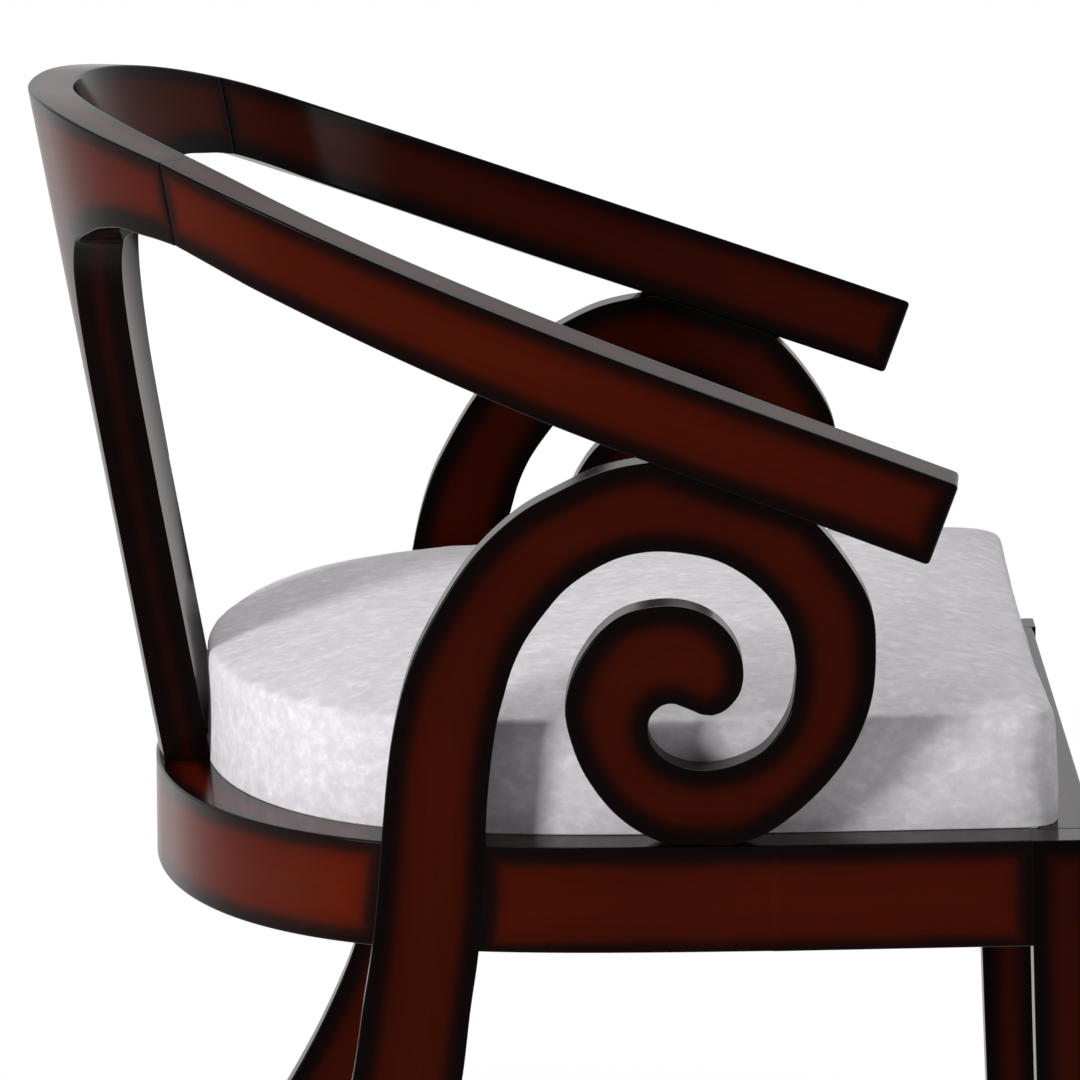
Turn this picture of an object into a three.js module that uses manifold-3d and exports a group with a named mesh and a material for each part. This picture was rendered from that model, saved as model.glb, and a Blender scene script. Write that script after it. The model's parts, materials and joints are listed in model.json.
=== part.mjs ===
// Klismos armchair: a horseshoe back whose arms rest on flat-sawn scrolls that run down as sabre legs.
// Millimetres, +X to the sitter's left, +Y to the back, +Z up. The floor is at zero.

import * as THREE from 'three';
import { mergeVertices } from 'three/addons/utils/BufferGeometryUtils.js';
import Module from 'manifold-3d';

const wasm = await Module();
wasm.setup();

// Fits and cuts.
const jointGap = 0.3;
const overrun = 4;
const weldDistance = 0.001;

// Seat frame: rails on one plan outline whose top falls toward the back.
const seatHeight = 418;
const seatFall = 11.6;
const seatFrontY = -282;
const seatBendY = -134;
const seatBackY = 234;
const seatHalfWidth = 279;
const seatDrawShare = 0.03;
const railHeight = 58;
const railThickness = 30;

// Front legs: upright blades that taper and lean forward to the floor.
const frontLegWidth = 25.5;
const frontLegDepth = 37.5;
const frontLegFootWidth = 22;
const frontLegFootDepth = 27;
const frontLegProud = 0.6;
const frontLegRecess = 2;
const frontLegRake = 8;
const frontLegStations = 12;
const frontLegBendShare = 1.6;

// Horseshoe band: a level crest on a round plan, then arms that sweep forward and down.
const crestHeight = 785;
const crestBackY = 302;
const crestInnerShare = 0.76;
const bandThickness = 25.5;
const bandDepth = 44;
const bandSlope = 0.357;
const crestLevelRun = 40;
const crestEaseRun = 190;
const seamAngle = THREE.MathUtils.degToRad(49.4);

// Arms.
const armTipInset = 9.1;
const armTipY = -206.8;
const armStartHandle = 120;
const armStartAngle = THREE.MathUtils.degToRad(41.1);
const armTipHandle = 149.5;
const armTipAngle = THREE.MathUtils.degToRad(4.65);
const armThickness = 24.2;
const armDepth = 45.4;
const armSag = 0.7;
const armCant = THREE.MathUtils.degToRad(6.85);
const armStations = 26;
const armSquareShare = 0.6;

// Splat: grows out of the crest and stands on the back rail.
const splatHalfWidth = 53;
const splatFootInset = 1.5;
const splatFlareRise = 181;
const splatColumns = 5;
// Each row: share of the way from the splat's side to the seam, share of the flare left below the crest.
const splatFlareShare = [
  [0.004, 1], [0.024, 0.7], [0.055, 0.54], [0.094, 0.418], [0.134, 0.334], [0.181, 0.265], [0.24, 0.208],
  [0.299, 0.164], [0.365, 0.137], [0.433, 0.115], [0.543, 0.077], [0.654, 0.0475], [0.732, 0.03],
  [0.843, 0.018], [0.92, 0.008], [1, 0],
];

// Scroll boards: volute, stem and sabre leg sawn from one flat board, splayed in plan.
const boardThickness = 22;
const boardSplayShare = 0.0787;
const stemBackY = 99.4;
const stemWidthShare = 0.213;
const scrollReach = 262;
const scrollContactShare = 0.5626;
// Rows of [share of the reach ahead of the stem's back edge, share of the rise from the rail to the arm].
const scrollOuterShare = [
  [0.002, 0.0375], [0.0195, 0.2571], [0.051, 0.4373], [0.0947, 0.5689], [0.176, 0.737], [0.2695, 0.8556],
  [0.363, 0.9252], [0.456, 0.9763], [0.5635, 0.9986], [0.665, 0.9932], [0.777, 0.9416], [0.8765, 0.8397],
  [0.9513, 0.7195], [0.992, 0.618], [1.001, 0.5072], [0.9935, 0.3826], [0.961, 0.2667], [0.908, 0.168],
  [0.835, 0.0779], [0.761, 0.0192], [0.67, -0.0061], [0.593, 0.003], [0.532, 0.0324], [0.471, 0.0911],
  [0.417, 0.1822], [0.387, 0.2723], [0.3745, 0.3533], [0.3835, 0.4252], [0.4035, 0.4879], [0.4438, 0.5588],
  [0.497, 0.6074], [0.571, 0.6266], [0.638, 0.6155], [0.691, 0.575], [0.7255, 0.5117], [0.735, 0.4479],
  [0.726, 0.3948], [0.699, 0.3553], [0.672, 0.3411],
];
const scrollInnerShare = [
  [0.648, 0.3452], [0.618, 0.3614], [0.5915, 0.3725], [0.5675, 0.3649], [0.5477, 0.3381], [0.543, 0.3017],
  [0.5545, 0.2571], [0.585, 0.2207], [0.632, 0.2004], [0.679, 0.2004], [0.7265, 0.2156], [0.773, 0.246],
  [0.8065, 0.2956], [0.8297, 0.3533], [0.839, 0.4242], [0.839, 0.4869], [0.825, 0.5679], [0.791, 0.6388],
  [0.7445, 0.6965], [0.684, 0.741], [0.6235, 0.7602], [0.557, 0.7673], [0.49, 0.7542], [0.43, 0.7197],
  [0.376, 0.6712], [0.336, 0.6135], [0.2957, 0.5416], [0.269, 0.4707], [0.252, 0.3988], [0.2348, 0.3098],
  [0.221, 0.1761], [0.2135, 0.0375],
];
// Rows of [share of the height below the rail's top, share of the rake, share of the leg's width].
const rearLegRake = 165;
const rearLegWidthShare = 1.075;
const rearLegShare = [
  [0.93, 0.014, 0.945], [0.85, 0.035, 0.95], [0.78, 0.062, 0.955], [0.667, 0.104, 0.965],
  [0.538, 0.184, 0.955], [0.43, 0.294, 0.915], [0.3325, 0.42, 0.865], [0.22, 0.59, 0.79],
  [0.11, 0.786, 0.7], [0, 1, 0.63],
];

// Cushion: a boxed pad with a crown, its sides drawn in below the top edge.
const cushionInset = 28;
const cushionBackInset = 31;
const cushionFrontInset = 18;
const cushionSide = 62;
const cushionCrown = 20;
const cushionPull = 4;
const cushionCorner = 40;
const cushionBowPoints = 36;
const cushionCornerPoints = 6;
// Rows of [share of the pull drawn in, share of the side's height], from the seat up to the top edge.
const cushionSideShare = [
  [1.4, 0], [0.25, 0.07], [0.1, 0.25], [0.45, 0.5], [0.35, 0.75], [0, 0.93], [0.5, 1.02],
];
// Rows of [share of the way out from the middle, share of the crown], from the edge in.
const cushionCrownShare = [
  [0.97, 0.18], [0.92, 0.37], [0.84, 0.58], [0.72, 0.77], [0.56, 0.9], [0.38, 0.97], [0.2, 0.995],
];

// Seat board and corner blocks.
const boardDepth = 12;
const blockHeight = 30;
const blockLeg = 62;
const blockRearWidth = 26;
const blockRearReach = 22;

// Dowels, tenon, screws and glides.
const dowelRadius = 4;
const dowelReach = 22;
const dowelSides = 14;
const dowelEdge = 8.5;
const sideDowelShare = [0.22, 0.66];
const frontDowelShare = [0.44, 0.86];
const seamDowelShare = [0.3, 0.7];
const scrollDowelRun = 44;
const scrollDowelStart = 12;
const tenonWidth = 50;
const tenonThickness = 9;
const tenonReach = 16;
const screwRadius = 2;
const screwHeadRadius = 4;
const screwHeadHeight = 2.4;
const screwBite = 9;
const glideRadius = 9;
const glideThickness = 3;
const glideNailRadius = 1.8;
const glideNailLength = 16;

// Looks.
const lacquer = () => new THREE.MeshStandardMaterial({ color: 0x3c0f08, roughness: 0.22, metalness: 0 });
const birch = () => new THREE.MeshStandardMaterial({ color: 0xc9a36a, roughness: 0.7, metalness: 0 });
const velvet = () => new THREE.MeshStandardMaterial({ color: 0xb9b6bd, roughness: 0.85, metalness: 0 });
const steel = () => new THREE.MeshStandardMaterial({ color: 0x9a9da0, roughness: 0.4, metalness: 1 });
const nylon = () => new THREE.MeshStandardMaterial({ color: 0x1c1c1e, roughness: 0.6, metalness: 0 });

const pinAxis = new THREE.Vector3(0, 1, 0);
const lerp = THREE.MathUtils.lerp;
const smooth = (share) => THREE.MathUtils.smoothstep(share, 0, 1);

// Solids.

/** Geometry from corners and triangle indices, turned so that its faces point out. */
function closedGeometry(positions, index) {
  let volume = 0;
  const a = new THREE.Vector3();
  const b = new THREE.Vector3();
  const c = new THREE.Vector3();
  for (let i = 0; i < index.length; i += 3) {
    a.fromArray(positions, 3 * index[i]);
    b.fromArray(positions, 3 * index[i + 1]);
    c.fromArray(positions, 3 * index[i + 2]);
    volume += a.dot(b.cross(c));
  }
  if (volume < 0) {
    for (let i = 0; i < index.length; i += 3) {
      [index[i + 1], index[i + 2]] = [index[i + 2], index[i + 1]];
    }
  }
  const geometry = new THREE.BufferGeometry();
  geometry.setAttribute('position', new THREE.Float32BufferAttribute(positions, 3));
  geometry.setIndex(index);
  return geometry;
}

/** Shared corners only, with the triangles that shrank to a line left out. */
function welded(geometry) {
  const bare = geometry.clone();
  bare.deleteAttribute('normal');
  bare.deleteAttribute('uv');
  const merged = mergeVertices(bare, weldDistance);
  const source = merged.index.array;
  const kept = [];
  for (let i = 0; i < source.length; i += 3) {
    const [a, b, c] = [source[i], source[i + 1], source[i + 2]];
    if (a !== b && b !== c && c !== a) kept.push(a, b, c);
  }
  return closedGeometry(Array.from(merged.attributes.position.array), kept);
}

/** Closed solid through rings of corners, both ends filled. */
function loft(rings) {
  const count = rings[0].length;
  const positions = rings.flat().flatMap((corner) => corner.toArray());
  const index = [];
  for (let i = 0; i + 1 < rings.length; i++) {
    for (let j = 0; j < count; j++) {
      const a = i * count + j;
      const b = i * count + (j + 1) % count;
      index.push(a, b, b + count, a, b + count, a + count);
    }
  }
  const last = (rings.length - 1) * count;
  for (let j = 1; j + 1 < count; j++) {
    index.push(0, j + 1, j);
    index.push(last, last + j, last + j + 1);
  }
  return closedGeometry(positions, index);
}

/** A library solid for joining and cutting. */
function toSolid(geometry) {
  const clean = welded(geometry);
  return new wasm.Manifold(new wasm.Mesh({
    numProp: 3,
    vertProperties: new Float32Array(clean.attributes.position.array),
    triVerts: new Uint32Array(clean.index.array),
  }));
}

function toGeometry(solid) {
  const mesh = solid.getMesh();
  return closedGeometry(Array.from(mesh.vertProperties), Array.from(mesh.triVerts));
}

/** The geometry with each cutter taken out of it. */
function cut(geometry, cutters) {
  let solid = toSolid(geometry);
  for (const cutter of cutters) solid = solid.subtract(toSolid(cutter));
  return toGeometry(solid);
}

/** The same piece on the other side of the chair. */
function mirrored(geometry) {
  const copy = geometry.clone().applyMatrix4(new THREE.Matrix4().makeScale(-1, 1, 1));
  return closedGeometry(Array.from(copy.attributes.position.array), Array.from(copy.index.array));
}

/** Moves every corner by a rule. */
function reshaped(geometry, rule) {
  const clean = welded(geometry);
  const position = clean.attributes.position;
  const corner = new THREE.Vector3();
  const positions = [];
  for (let i = 0; i < position.count; i++) {
    corner.fromBufferAttribute(position, i);
    positions.push(...rule(corner).toArray());
  }
  return closedGeometry(positions, Array.from(clean.index.array));
}

function extruded(points, depth) {
  return new THREE.ExtrudeGeometry(new THREE.Shape(points), { depth, bevelEnabled: false });
}

// Seat plane and plan outline.

const seatSlope = seatFall / (seatBackY - seatFrontY);
const railTop = (y) => seatHeight - seatSlope * (y - seatFrontY);

/** A flat plate cut to a plan outline, its top a given depth under the top of the rails. */
function plate(points, under, thickness) {
  return reshaped(extruded(points, thickness), (corner) => {
    corner.z += railTop(corner.y) - under - thickness;
    return corner;
  });
}

const seatTurnAt = (y) => Math.asin(((y - seatBendY) / (seatBackY - seatBendY)) ** 2);

/** Plan outline of the seat by its turn: zero where the side starts to bend, a half turn on the far side. */
function seatEdge(turn, inset = 0, backY = seatBackY) {
  const along = Math.sqrt(Math.abs(Math.sin(turn)));
  const halfWidth = (seatHalfWidth - inset) * (1 - seatDrawShare * along);
  return new THREE.Vector2(halfWidth * Math.cos(turn), seatBendY + (backY - seatBendY) * along);
}

const turnStep = 0.002;

function seatTangent(turn) {
  return seatEdge(turn + turnStep).sub(seatEdge(turn - turnStep)).normalize();
}

/** A point of the outline moved in square to it. */
function seatInner(turn, inset) {
  const along = seatTangent(turn);
  return seatEdge(turn).add(new THREE.Vector2(-along.y, along.x).multiplyScalar(inset));
}

/** X of the outline at a given Y on the sitter's left. */
const seatX = (y) => (y <= seatBendY ? seatHalfWidth : seatEdge(seatTurnAt(y)).x);

function turnsBetween(start, end, steps) {
  return Array.from({ length: steps + 1 }, (_, i) => lerp(start, end, i / steps));
}

// Scroll board placement: its outer face is flush with the rail at the stem's front edge.

const stemWidth = scrollReach * stemWidthShare;
const stemFrontY = stemBackY - stemWidth;
const boardOuterX = (y) => seatX(stemFrontY) + boardSplayShare * (stemFrontY - y);
const boardAcross = boardThickness * Math.hypot(1, boardSplayShare);
const boardCentreX = (y) => boardOuterX(y) - boardAcross / 2;

/** A board sawn to an outline of Y and Z, laid in the splayed plane. */
function sawnBoard(points) {
  return reshaped(extruded(points, boardAcross), (corner) => {
    const [y, z, across] = corner.toArray();
    return new THREE.Vector3(boardOuterX(y) - across, y, z);
  });
}

/** A slab through the whole chair from one side to the other, cut to an outline of Y and Z. */
function crossSlab(points) {
  const reach = seatHalfWidth + seatHalfWidth;
  return reshaped(extruded(points, reach + reach), (corner) => {
    const [y, z, across] = corner.toArray();
    return new THREE.Vector3(across - reach, y, z);
  });
}

// Horseshoe band.

const crestInnerRadius = seatHalfWidth * crestInnerShare;
const crestOuterRadius = crestInnerRadius + bandThickness;
const crestCentreY = crestBackY - crestOuterRadius;
const seamRun = crestInnerRadius * seamAngle;
// The back leans so far that the splat's foot lands inside the seat's outline.
const leanShare = (crestBackY - seatBackY + splatFootInset) / (crestHeight - railTop(seatBackY));

const slopeAt = (run) => bandSlope * THREE.MathUtils.clamp((run - crestLevelRun) / crestEaseRun, 0, 1);

/** Height of the band's top edge by the length run along its inner edge from the middle. */
function bandTop(run) {
  const eased = THREE.MathUtils.clamp(run - crestLevelRun, 0, crestEaseRun);
  const straight = Math.max(run - crestLevelRun - crestEaseRun, 0);
  return crestHeight - bandSlope * (eased * eased / (crestEaseRun + crestEaseRun) + straight);
}

const drop = (depth) => new THREE.Vector3(0, -leanShare * depth, -depth);
const bandFall = (run) => bandDepth * Math.hypot(1, slopeAt(run));

// Crest and splat, as columns ruled down the lean of the back.

const seamOuterX = crestOuterRadius * Math.sin(seamAngle);
const flareReach = seamOuterX - splatHalfWidth;

const crestY = (x, radius) => crestCentreY + Math.sqrt(radius ** 2 - x ** 2);

/** Corners of one column at its X on the outer face; a null flare runs it down to the rail. */
function crestColumn(outerX, flareLeft) {
  const share = smooth((outerX - splatHalfWidth) / flareReach);
  const innerX = lerp(outerX, outerX * crestInnerRadius / crestOuterRadius, share);
  const run = crestInnerRadius * Math.asin(innerX / crestInnerRadius);
  const inner = new THREE.Vector3(innerX, crestY(innerX, crestInnerRadius), bandTop(run));
  const outer = new THREE.Vector3(outerX, crestY(outerX, crestOuterRadius), bandTop(run));
  const toRail = (corner) => (corner.z - jointGap - railTop(corner.y)) / (1 + seatSlope * leanShare);
  const fall = bandFall(run) + flareLeft * splatFlareRise;
  const low = (corner) => corner.clone().add(drop(flareLeft === null ? toRail(corner) : fall));
  return [inner, outer, low(outer), low(inner)];
}

function crestSplat() {
  const flare = new THREE.SplineCurve(splatFlareShare.map((row) => new THREE.Vector2(...row)));
  const left = [];
  for (let i = 1; i <= splatColumns; i++) left.push([splatHalfWidth * i / splatColumns, null]);
  for (const point of flare.getPoints(splatFlareShare.length + splatFlareShare.length)) {
    left.push([splatHalfWidth + flareReach * Math.min(point.x, 1), Math.max(point.y, 0)]);
  }
  const right = left.map(([x, flareLeft]) => [-x, flareLeft]).reverse();
  const columns = [...right, [0, null], ...left];
  return loft(columns.map(([x, flareLeft]) => {
    const corners = crestColumn(Math.abs(x), flareLeft);
    return x < 0 ? corners.map((corner) => new THREE.Vector3(-corner.x, corner.y, corner.z)) : corners;
  }));
}

// Arms.

const radial = new THREE.Vector2(Math.sin(seamAngle), Math.cos(seamAngle));
const forward = new THREE.Vector2(Math.cos(seamAngle), -Math.sin(seamAngle));
const seamPoint = radial.clone().multiplyScalar(crestInnerRadius).add(new THREE.Vector2(0, crestCentreY));
const armStart = seamPoint.clone().addScaledVector(forward, jointGap);
const armTip = new THREE.Vector2(seatHalfWidth - armTipInset, armTipY);
const armPlan = new THREE.CubicBezierCurve(
  armStart,
  armStart.clone().add(new THREE.Vector2(Math.sin(armStartAngle), -Math.cos(armStartAngle))
    .multiplyScalar(armStartHandle)),
  armTip.clone().add(new THREE.Vector2(-Math.sin(armTipAngle), Math.cos(armTipAngle))
    .multiplyScalar(armTipHandle)),
  armTip,
);
const armRuns = armPlan.getLengths(armStations);
const armLength = armRuns[armStations];

/** One station of the arm: corners [inner top, outer top, outer low, inner low]. */
function armSection(station, grow = 0) {
  const run = armRuns[station];
  const plan = armPlan.getPoint(station / armStations);
  const along = armPlan.getTangent(station / armStations);
  const early = smooth(run / (armLength / 6));
  const late = smooth(run / (armLength * armSquareShare));
  const out = radial.clone().lerp(new THREE.Vector2(-along.y, along.x), early).normalize();
  const thick = lerp(bandThickness, armThickness, late);
  const depth = lerp(bandDepth, armDepth, early);
  const slope = slopeAt(seamRun + run);
  const square = new THREE.Vector3(-along.x * slope, -along.y * slope, -1)
    .multiplyScalar(depth / Math.hypot(1, slope));
  const down = drop(depth * Math.hypot(1, slope)).lerp(square, late);
  const cant = Math.tan(armCant) * late;
  const sag = armSag * Math.sin(Math.PI * run / armLength) ** 2;
  const innerTop = new THREE.Vector3(plan.x, plan.y, bandTop(seamRun + run) - sag);
  const across = new THREE.Vector3(out.x, out.y, -cant);
  innerTop.addScaledVector(across, -grow);
  const outerTop = innerTop.clone().addScaledVector(across, thick + grow + grow);
  return [innerTop, outerTop, outerTop.clone().add(down), innerTop.clone().add(down)];
}

function armGeometry() {
  return loft(armRuns.map((_, station) => armSection(station)));
}

/** The room that the arm needs over the scroll: wider than the arm and lower by the joint's gap. */
function armRoom() {
  return loft(armRuns.map((_, station) => armSection(station, boardThickness).map((corner, i) => {
    corner.z += i < 2 ? bandDepth : -jointGap;
    return corner;
  })));
}

/** Height of the arm's underside, over the middle of the scroll board, at a given Y. */
function armUnderZ(y) {
  const lows = armRuns.map((_, station) => {
    const corners = armSection(station);
    return corners[2].clone().add(corners[3]).multiplyScalar(0.5);
  });
  const next = lows.findIndex((low, i) => i > 0 && low.y <= y);
  const [a, b] = [lows[next - 1], lows[next]];
  return lerp(a.z, b.z, (a.y - y) / (a.y - b.y));
}

// Scroll, stem and sabre leg.

const footHeight = glideThickness + jointGap;
const rearLegWidth = stemWidth * rearLegWidthShare;
const scrollContactY = stemBackY - scrollReach * scrollContactShare;
const scrollRise = armUnderZ(scrollContactY) - railTop(scrollContactY);

function scrollPoint([reachShare, riseShare]) {
  const y = stemBackY - reachShare * scrollReach;
  return new THREE.Vector2(y, railTop(y) + riseShare * scrollRise);
}

/** Back and front edges of the sabre leg by its share of the height under the rail's top. */
function rearLegEdges() {
  const top = railTop(stemBackY);
  const back = rearLegShare.map(([height, rake]) => new THREE.Vector2(
    stemBackY + rake * rearLegRake,
    footHeight + height * (top - footHeight),
  ));
  const middle = new THREE.SplineCurve(back);
  const front = back.map((point, i) => {
    const along = middle.getTangent(i / (back.length - 1));
    return new THREE.Vector2(point.x - rearLegShare[i][2] * rearLegWidth / Math.abs(along.y), point.y);
  });
  return { back, front };
}

const legEdges = rearLegEdges();

function smoothed(points, factor) {
  return new THREE.SplineCurve(points).getPoints((points.length - 1) * factor);
}

const backEdge = smoothed([...legEdges.back].reverse().concat(scrollOuterShare.map(scrollPoint)), 2);
const frontEdge = smoothed(scrollInnerShare.map(scrollPoint).concat(legEdges.front), 2);

function scrollLeg(bores) {
  const board = sawnBoard([...backEdge, ...frontEdge]);
  const railRoom = crossSlab([
    new THREE.Vector2(stemFrontY - stemWidth / 2, railTop(stemFrontY - stemWidth / 2) + jointGap),
    new THREE.Vector2(seatFrontY, railTop(seatFrontY) + jointGap),
    new THREE.Vector2(seatFrontY, railTop(seatFrontY) - railHeight),
    new THREE.Vector2(stemFrontY - stemWidth / 2, railTop(stemFrontY) - railHeight),
  ]);
  return cut(board, [armRoom(), railRoom, ...bores]);
}

// Front legs.

/** Y of the front and back faces of the front leg, by the share of its height. */
function frontLegFaces(share) {
  const low = 1 - share;
  const front = seatFrontY - frontLegRecess - frontLegRake * low ** frontLegBendShare;
  const depth = lerp(frontLegFootDepth, frontLegDepth, share);
  return { front, back: front + depth };
}

const frontLegOuterX = seatHalfWidth + frontLegProud;

function frontLeg(bores) {
  const rings = turnsBetween(0, 1, frontLegStations).map((share) => {
    const { front, back } = frontLegFaces(share);
    const width = lerp(frontLegFootWidth, frontLegWidth, share);
    const outer = frontLegOuterX - (frontLegWidth - width) / 2;
    const z = (y) => lerp(footHeight, railTop(y), share);
    return [[outer, front], [outer, back], [outer - width, back], [outer - width, front]]
      .map(([x, y]) => new THREE.Vector3(x, y, z(y)));
  });
  return cut(loft(rings), bores);
}

/** Outline of Y and Z along the front leg's back face, from under the rail to over it. */
function frontLegBackLine() {
  return turnsBetween(0.5, 1, frontLegStations / 2).map((share) => {
    const { back } = frontLegFaces(share);
    return new THREE.Vector2(back + jointGap, lerp(footHeight, railTop(back), share));
  });
}

// Pins: dowels, screws and glides that stand in bores of the same line.

/** A named round piece along a line, and the bore that takes it. */
function pinAlong(geometry, from, direction) {
  const mesh = new THREE.Mesh(geometry);
  mesh.position.copy(from);
  mesh.quaternion.setFromUnitVectors(pinAxis, direction.clone().normalize());
  mesh.updateMatrix();
  return mesh;
}

function bored(radius, length, from, direction) {
  const round = new THREE.CylinderGeometry(radius, radius, length, dowelSides);
  round.translate(0, length / 2, 0);
  const mesh = pinAlong(round, from, direction);
  return round.applyMatrix4(mesh.matrix);
}

/** Dowel centred on a joint, with a bore that leaves a little room at both ends. */
function dowel(name, centre, direction, reach = dowelReach) {
  const line = direction.clone().normalize();
  const body = new THREE.CylinderGeometry(dowelRadius, dowelRadius, reach + reach, dowelSides);
  const mesh = pinAlong(body, centre, line);
  mesh.name = name;
  mesh.material = birch();
  const length = reach + reach + jointGap + jointGap;
  const start = centre.clone().addScaledVector(line, -length / 2);
  return { mesh, bore: bored(dowelRadius + jointGap, length, start, line) };
}

function turned(profile) {
  return welded(new THREE.LatheGeometry(profile.map((pair) => new THREE.Vector2(...pair)), dowelSides));
}

/** Pan-head screw whose head lies on the face it starts from. */
function screw(name, from, direction, length) {
  const line = direction.clone().normalize();
  const mesh = pinAlong(turned([
    [0, -screwHeadHeight],
    [screwHeadRadius * 0.6, -screwHeadHeight],
    [screwHeadRadius, -screwHeadHeight / 2],
    [screwHeadRadius, 0],
    [screwRadius, 0],
    [screwRadius, length - screwRadius],
    [0, length],
  ]), from.clone().addScaledVector(line, -jointGap), line);
  mesh.name = name;
  mesh.material = steel();
  const start = from.clone().addScaledVector(line, -overrun);
  const bore = bored(screwRadius + jointGap, length + overrun, start, line);
  return { mesh, bore };
}

/** Nail-on glide that stands on the floor under a foot. */
function glide(name, x, y) {
  const mesh = pinAlong(turned([
    [0, 0],
    [glideRadius * 0.8, 0],
    [glideRadius, glideThickness / 2],
    [glideRadius, glideThickness],
    [glideNailRadius, glideThickness],
    [glideNailRadius, glideThickness + glideNailLength - glideNailRadius],
    [0, glideThickness + glideNailLength],
  ]), new THREE.Vector3(x, y, 0), new THREE.Vector3(0, 0, 1));
  mesh.name = name;
  mesh.material = nylon();
  const bore = bored(
    glideNailRadius + jointGap,
    glideNailLength + jointGap + jointGap,
    new THREE.Vector3(x, y, glideThickness),
    new THREE.Vector3(0, 0, 1),
  );
  return { mesh, bore };
}

// The chair.

const chair = new THREE.Group();

function add(name, geometry, material) {
  const mesh = new THREE.Mesh(geometry, material);
  mesh.name = name;
  chair.add(mesh);
}

const flipX = (v) => new THREE.Vector3(-v.x, v.y, v.z);

/** Adds a pin on the sitter's left and its twin on the right, and returns the left bore. */
function pinPair(make, name, from, direction, length) {
  const left = make(`${name}_left`, from, direction, length);
  const right = make(`${name}_right`, flipX(from), flipX(direction), length);
  chair.add(left.mesh, right.mesh);
  return left.bore;
}

function addPair(name, geometry, material) {
  add(`${name}_left`, geometry, material());
  add(`${name}_right`, mirrored(geometry), material());
}

const acrossX = new THREE.Vector3(1, 0, 0);
const alongY = new THREE.Vector3(0, 1, 0);
const upZ = new THREE.Vector3(0, 0, 1);

// Dowels between the rails and the legs.

const railDepthAt = (share) => share * railHeight;
const legTopFaces = frontLegFaces(1);
const legMiddleX = frontLegOuterX - frontLegWidth / 2;
const legInnerX = frontLegOuterX - frontLegWidth;
const frontRailMiddleY = seatFrontY + railThickness / 2;
const backTurn = seatTurnAt(stemBackY);
const backTangent = seatTangent(backTurn);
const backJoint = seatInner(backTurn, dowelEdge);

const sideLegBores = sideDowelShare.map((share, i) => pinPair(
  dowel,
  `dowel_side_front_${i + 1}`,
  new THREE.Vector3(legMiddleX, legTopFaces.back, railTop(legTopFaces.back) - railDepthAt(share)),
  alongY,
));
const frontLegBores = frontDowelShare.map((share, i) => pinPair(
  dowel,
  `dowel_front_rail_${i + 1}`,
  new THREE.Vector3(legInnerX, frontRailMiddleY, railTop(frontRailMiddleY) - railDepthAt(share)),
  acrossX,
  frontLegWidth - dowelEdge,
));
const sideStemBores = sideDowelShare.map((share, i) => pinPair(
  dowel,
  `dowel_side_rear_${i + 1}`,
  new THREE.Vector3(boardCentreX(stemFrontY), stemFrontY, railTop(stemFrontY) - railDepthAt(share)),
  alongY,
));
const backStemBores = sideDowelShare.map((share, i) => pinPair(
  dowel,
  `dowel_back_rail_${i + 1}`,
  new THREE.Vector3(backJoint.x, backJoint.y, railTop(stemBackY) - railDepthAt(share)),
  new THREE.Vector3(backTangent.x, backTangent.y, 0),
));

// Dowels between the scroll and the rail, the scroll and the arm, and the arm and the crest.

const scrollFootY = scrollPoint(scrollOuterShare[20]).x;
const scrollFootBore = pinPair(
  dowel,
  'dowel_scroll_foot',
  new THREE.Vector3(boardCentreX(scrollFootY), scrollFootY, railTop(scrollFootY)),
  upZ,
);
const scrollTopBores = [0, 1].map((i) => {
  const y = scrollContactY - scrollDowelStart - i * scrollDowelRun;
  return pinPair(
    dowel,
    `dowel_scroll_top_${i + 1}`,
    new THREE.Vector3(boardCentreX(y), y, armUnderZ(y)),
    new THREE.Vector3(0, -bandSlope, 1),
  );
});
const seamSection = armSection(0);
const seamSlope = slopeAt(seamRun);
const seamBores = seamDowelShare.map((share, i) => pinPair(
  dowel,
  `dowel_crest_${i + 1}`,
  seamSection[0].clone().add(seamSection[1]).multiplyScalar(0.5)
    .add(drop(share * bandFall(seamRun))),
  new THREE.Vector3(forward.x, forward.y, -seamSlope),
));

// Tenon between the splat and the back rail.

const tenonY = seatBackY - bandThickness / 2;

function tenonBlock(gap) {
  const block = new THREE.BoxGeometry(
    tenonWidth + gap + gap,
    tenonThickness + gap + gap,
    tenonReach + tenonReach + gap + gap,
  );
  return block.translate(0, tenonY, railTop(tenonY));
}

// Corner blocks and their screws.

const blockUnder = boardDepth + jointGap;
const screwUnder = blockUnder + blockHeight / 2;
const railInnerX = seatHalfWidth - railThickness;
const railInnerY = seatFrontY + railThickness;
const cornerX = railInnerX - jointGap;
const cornerY = railInnerY + jointGap;
const frontBlockPlan = [
  new THREE.Vector2(cornerX, cornerY),
  new THREE.Vector2(cornerX, cornerY + blockLeg),
  new THREE.Vector2(cornerX - blockLeg * 0.3, cornerY + blockLeg),
  new THREE.Vector2(cornerX - blockLeg, cornerY + blockLeg * 0.3),
  new THREE.Vector2(cornerX - blockLeg, cornerY),
];
const intoCorner = new THREE.Vector3(1, -1, 0).normalize();
const frontCutMiddle = blockLeg * 0.65;
const frontScrewFrom = new THREE.Vector3(
  cornerX - frontCutMiddle,
  cornerY + frontCutMiddle,
  railTop(cornerY + frontCutMiddle) - screwUnder,
);
const frontScrewLength = (frontCutMiddle + legInnerX - cornerX) * Math.SQRT2 + screwBite;
const frontBlockBore = pinPair(screw, 'screw_block_front', frontScrewFrom, intoCorner, frontScrewLength);

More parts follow.
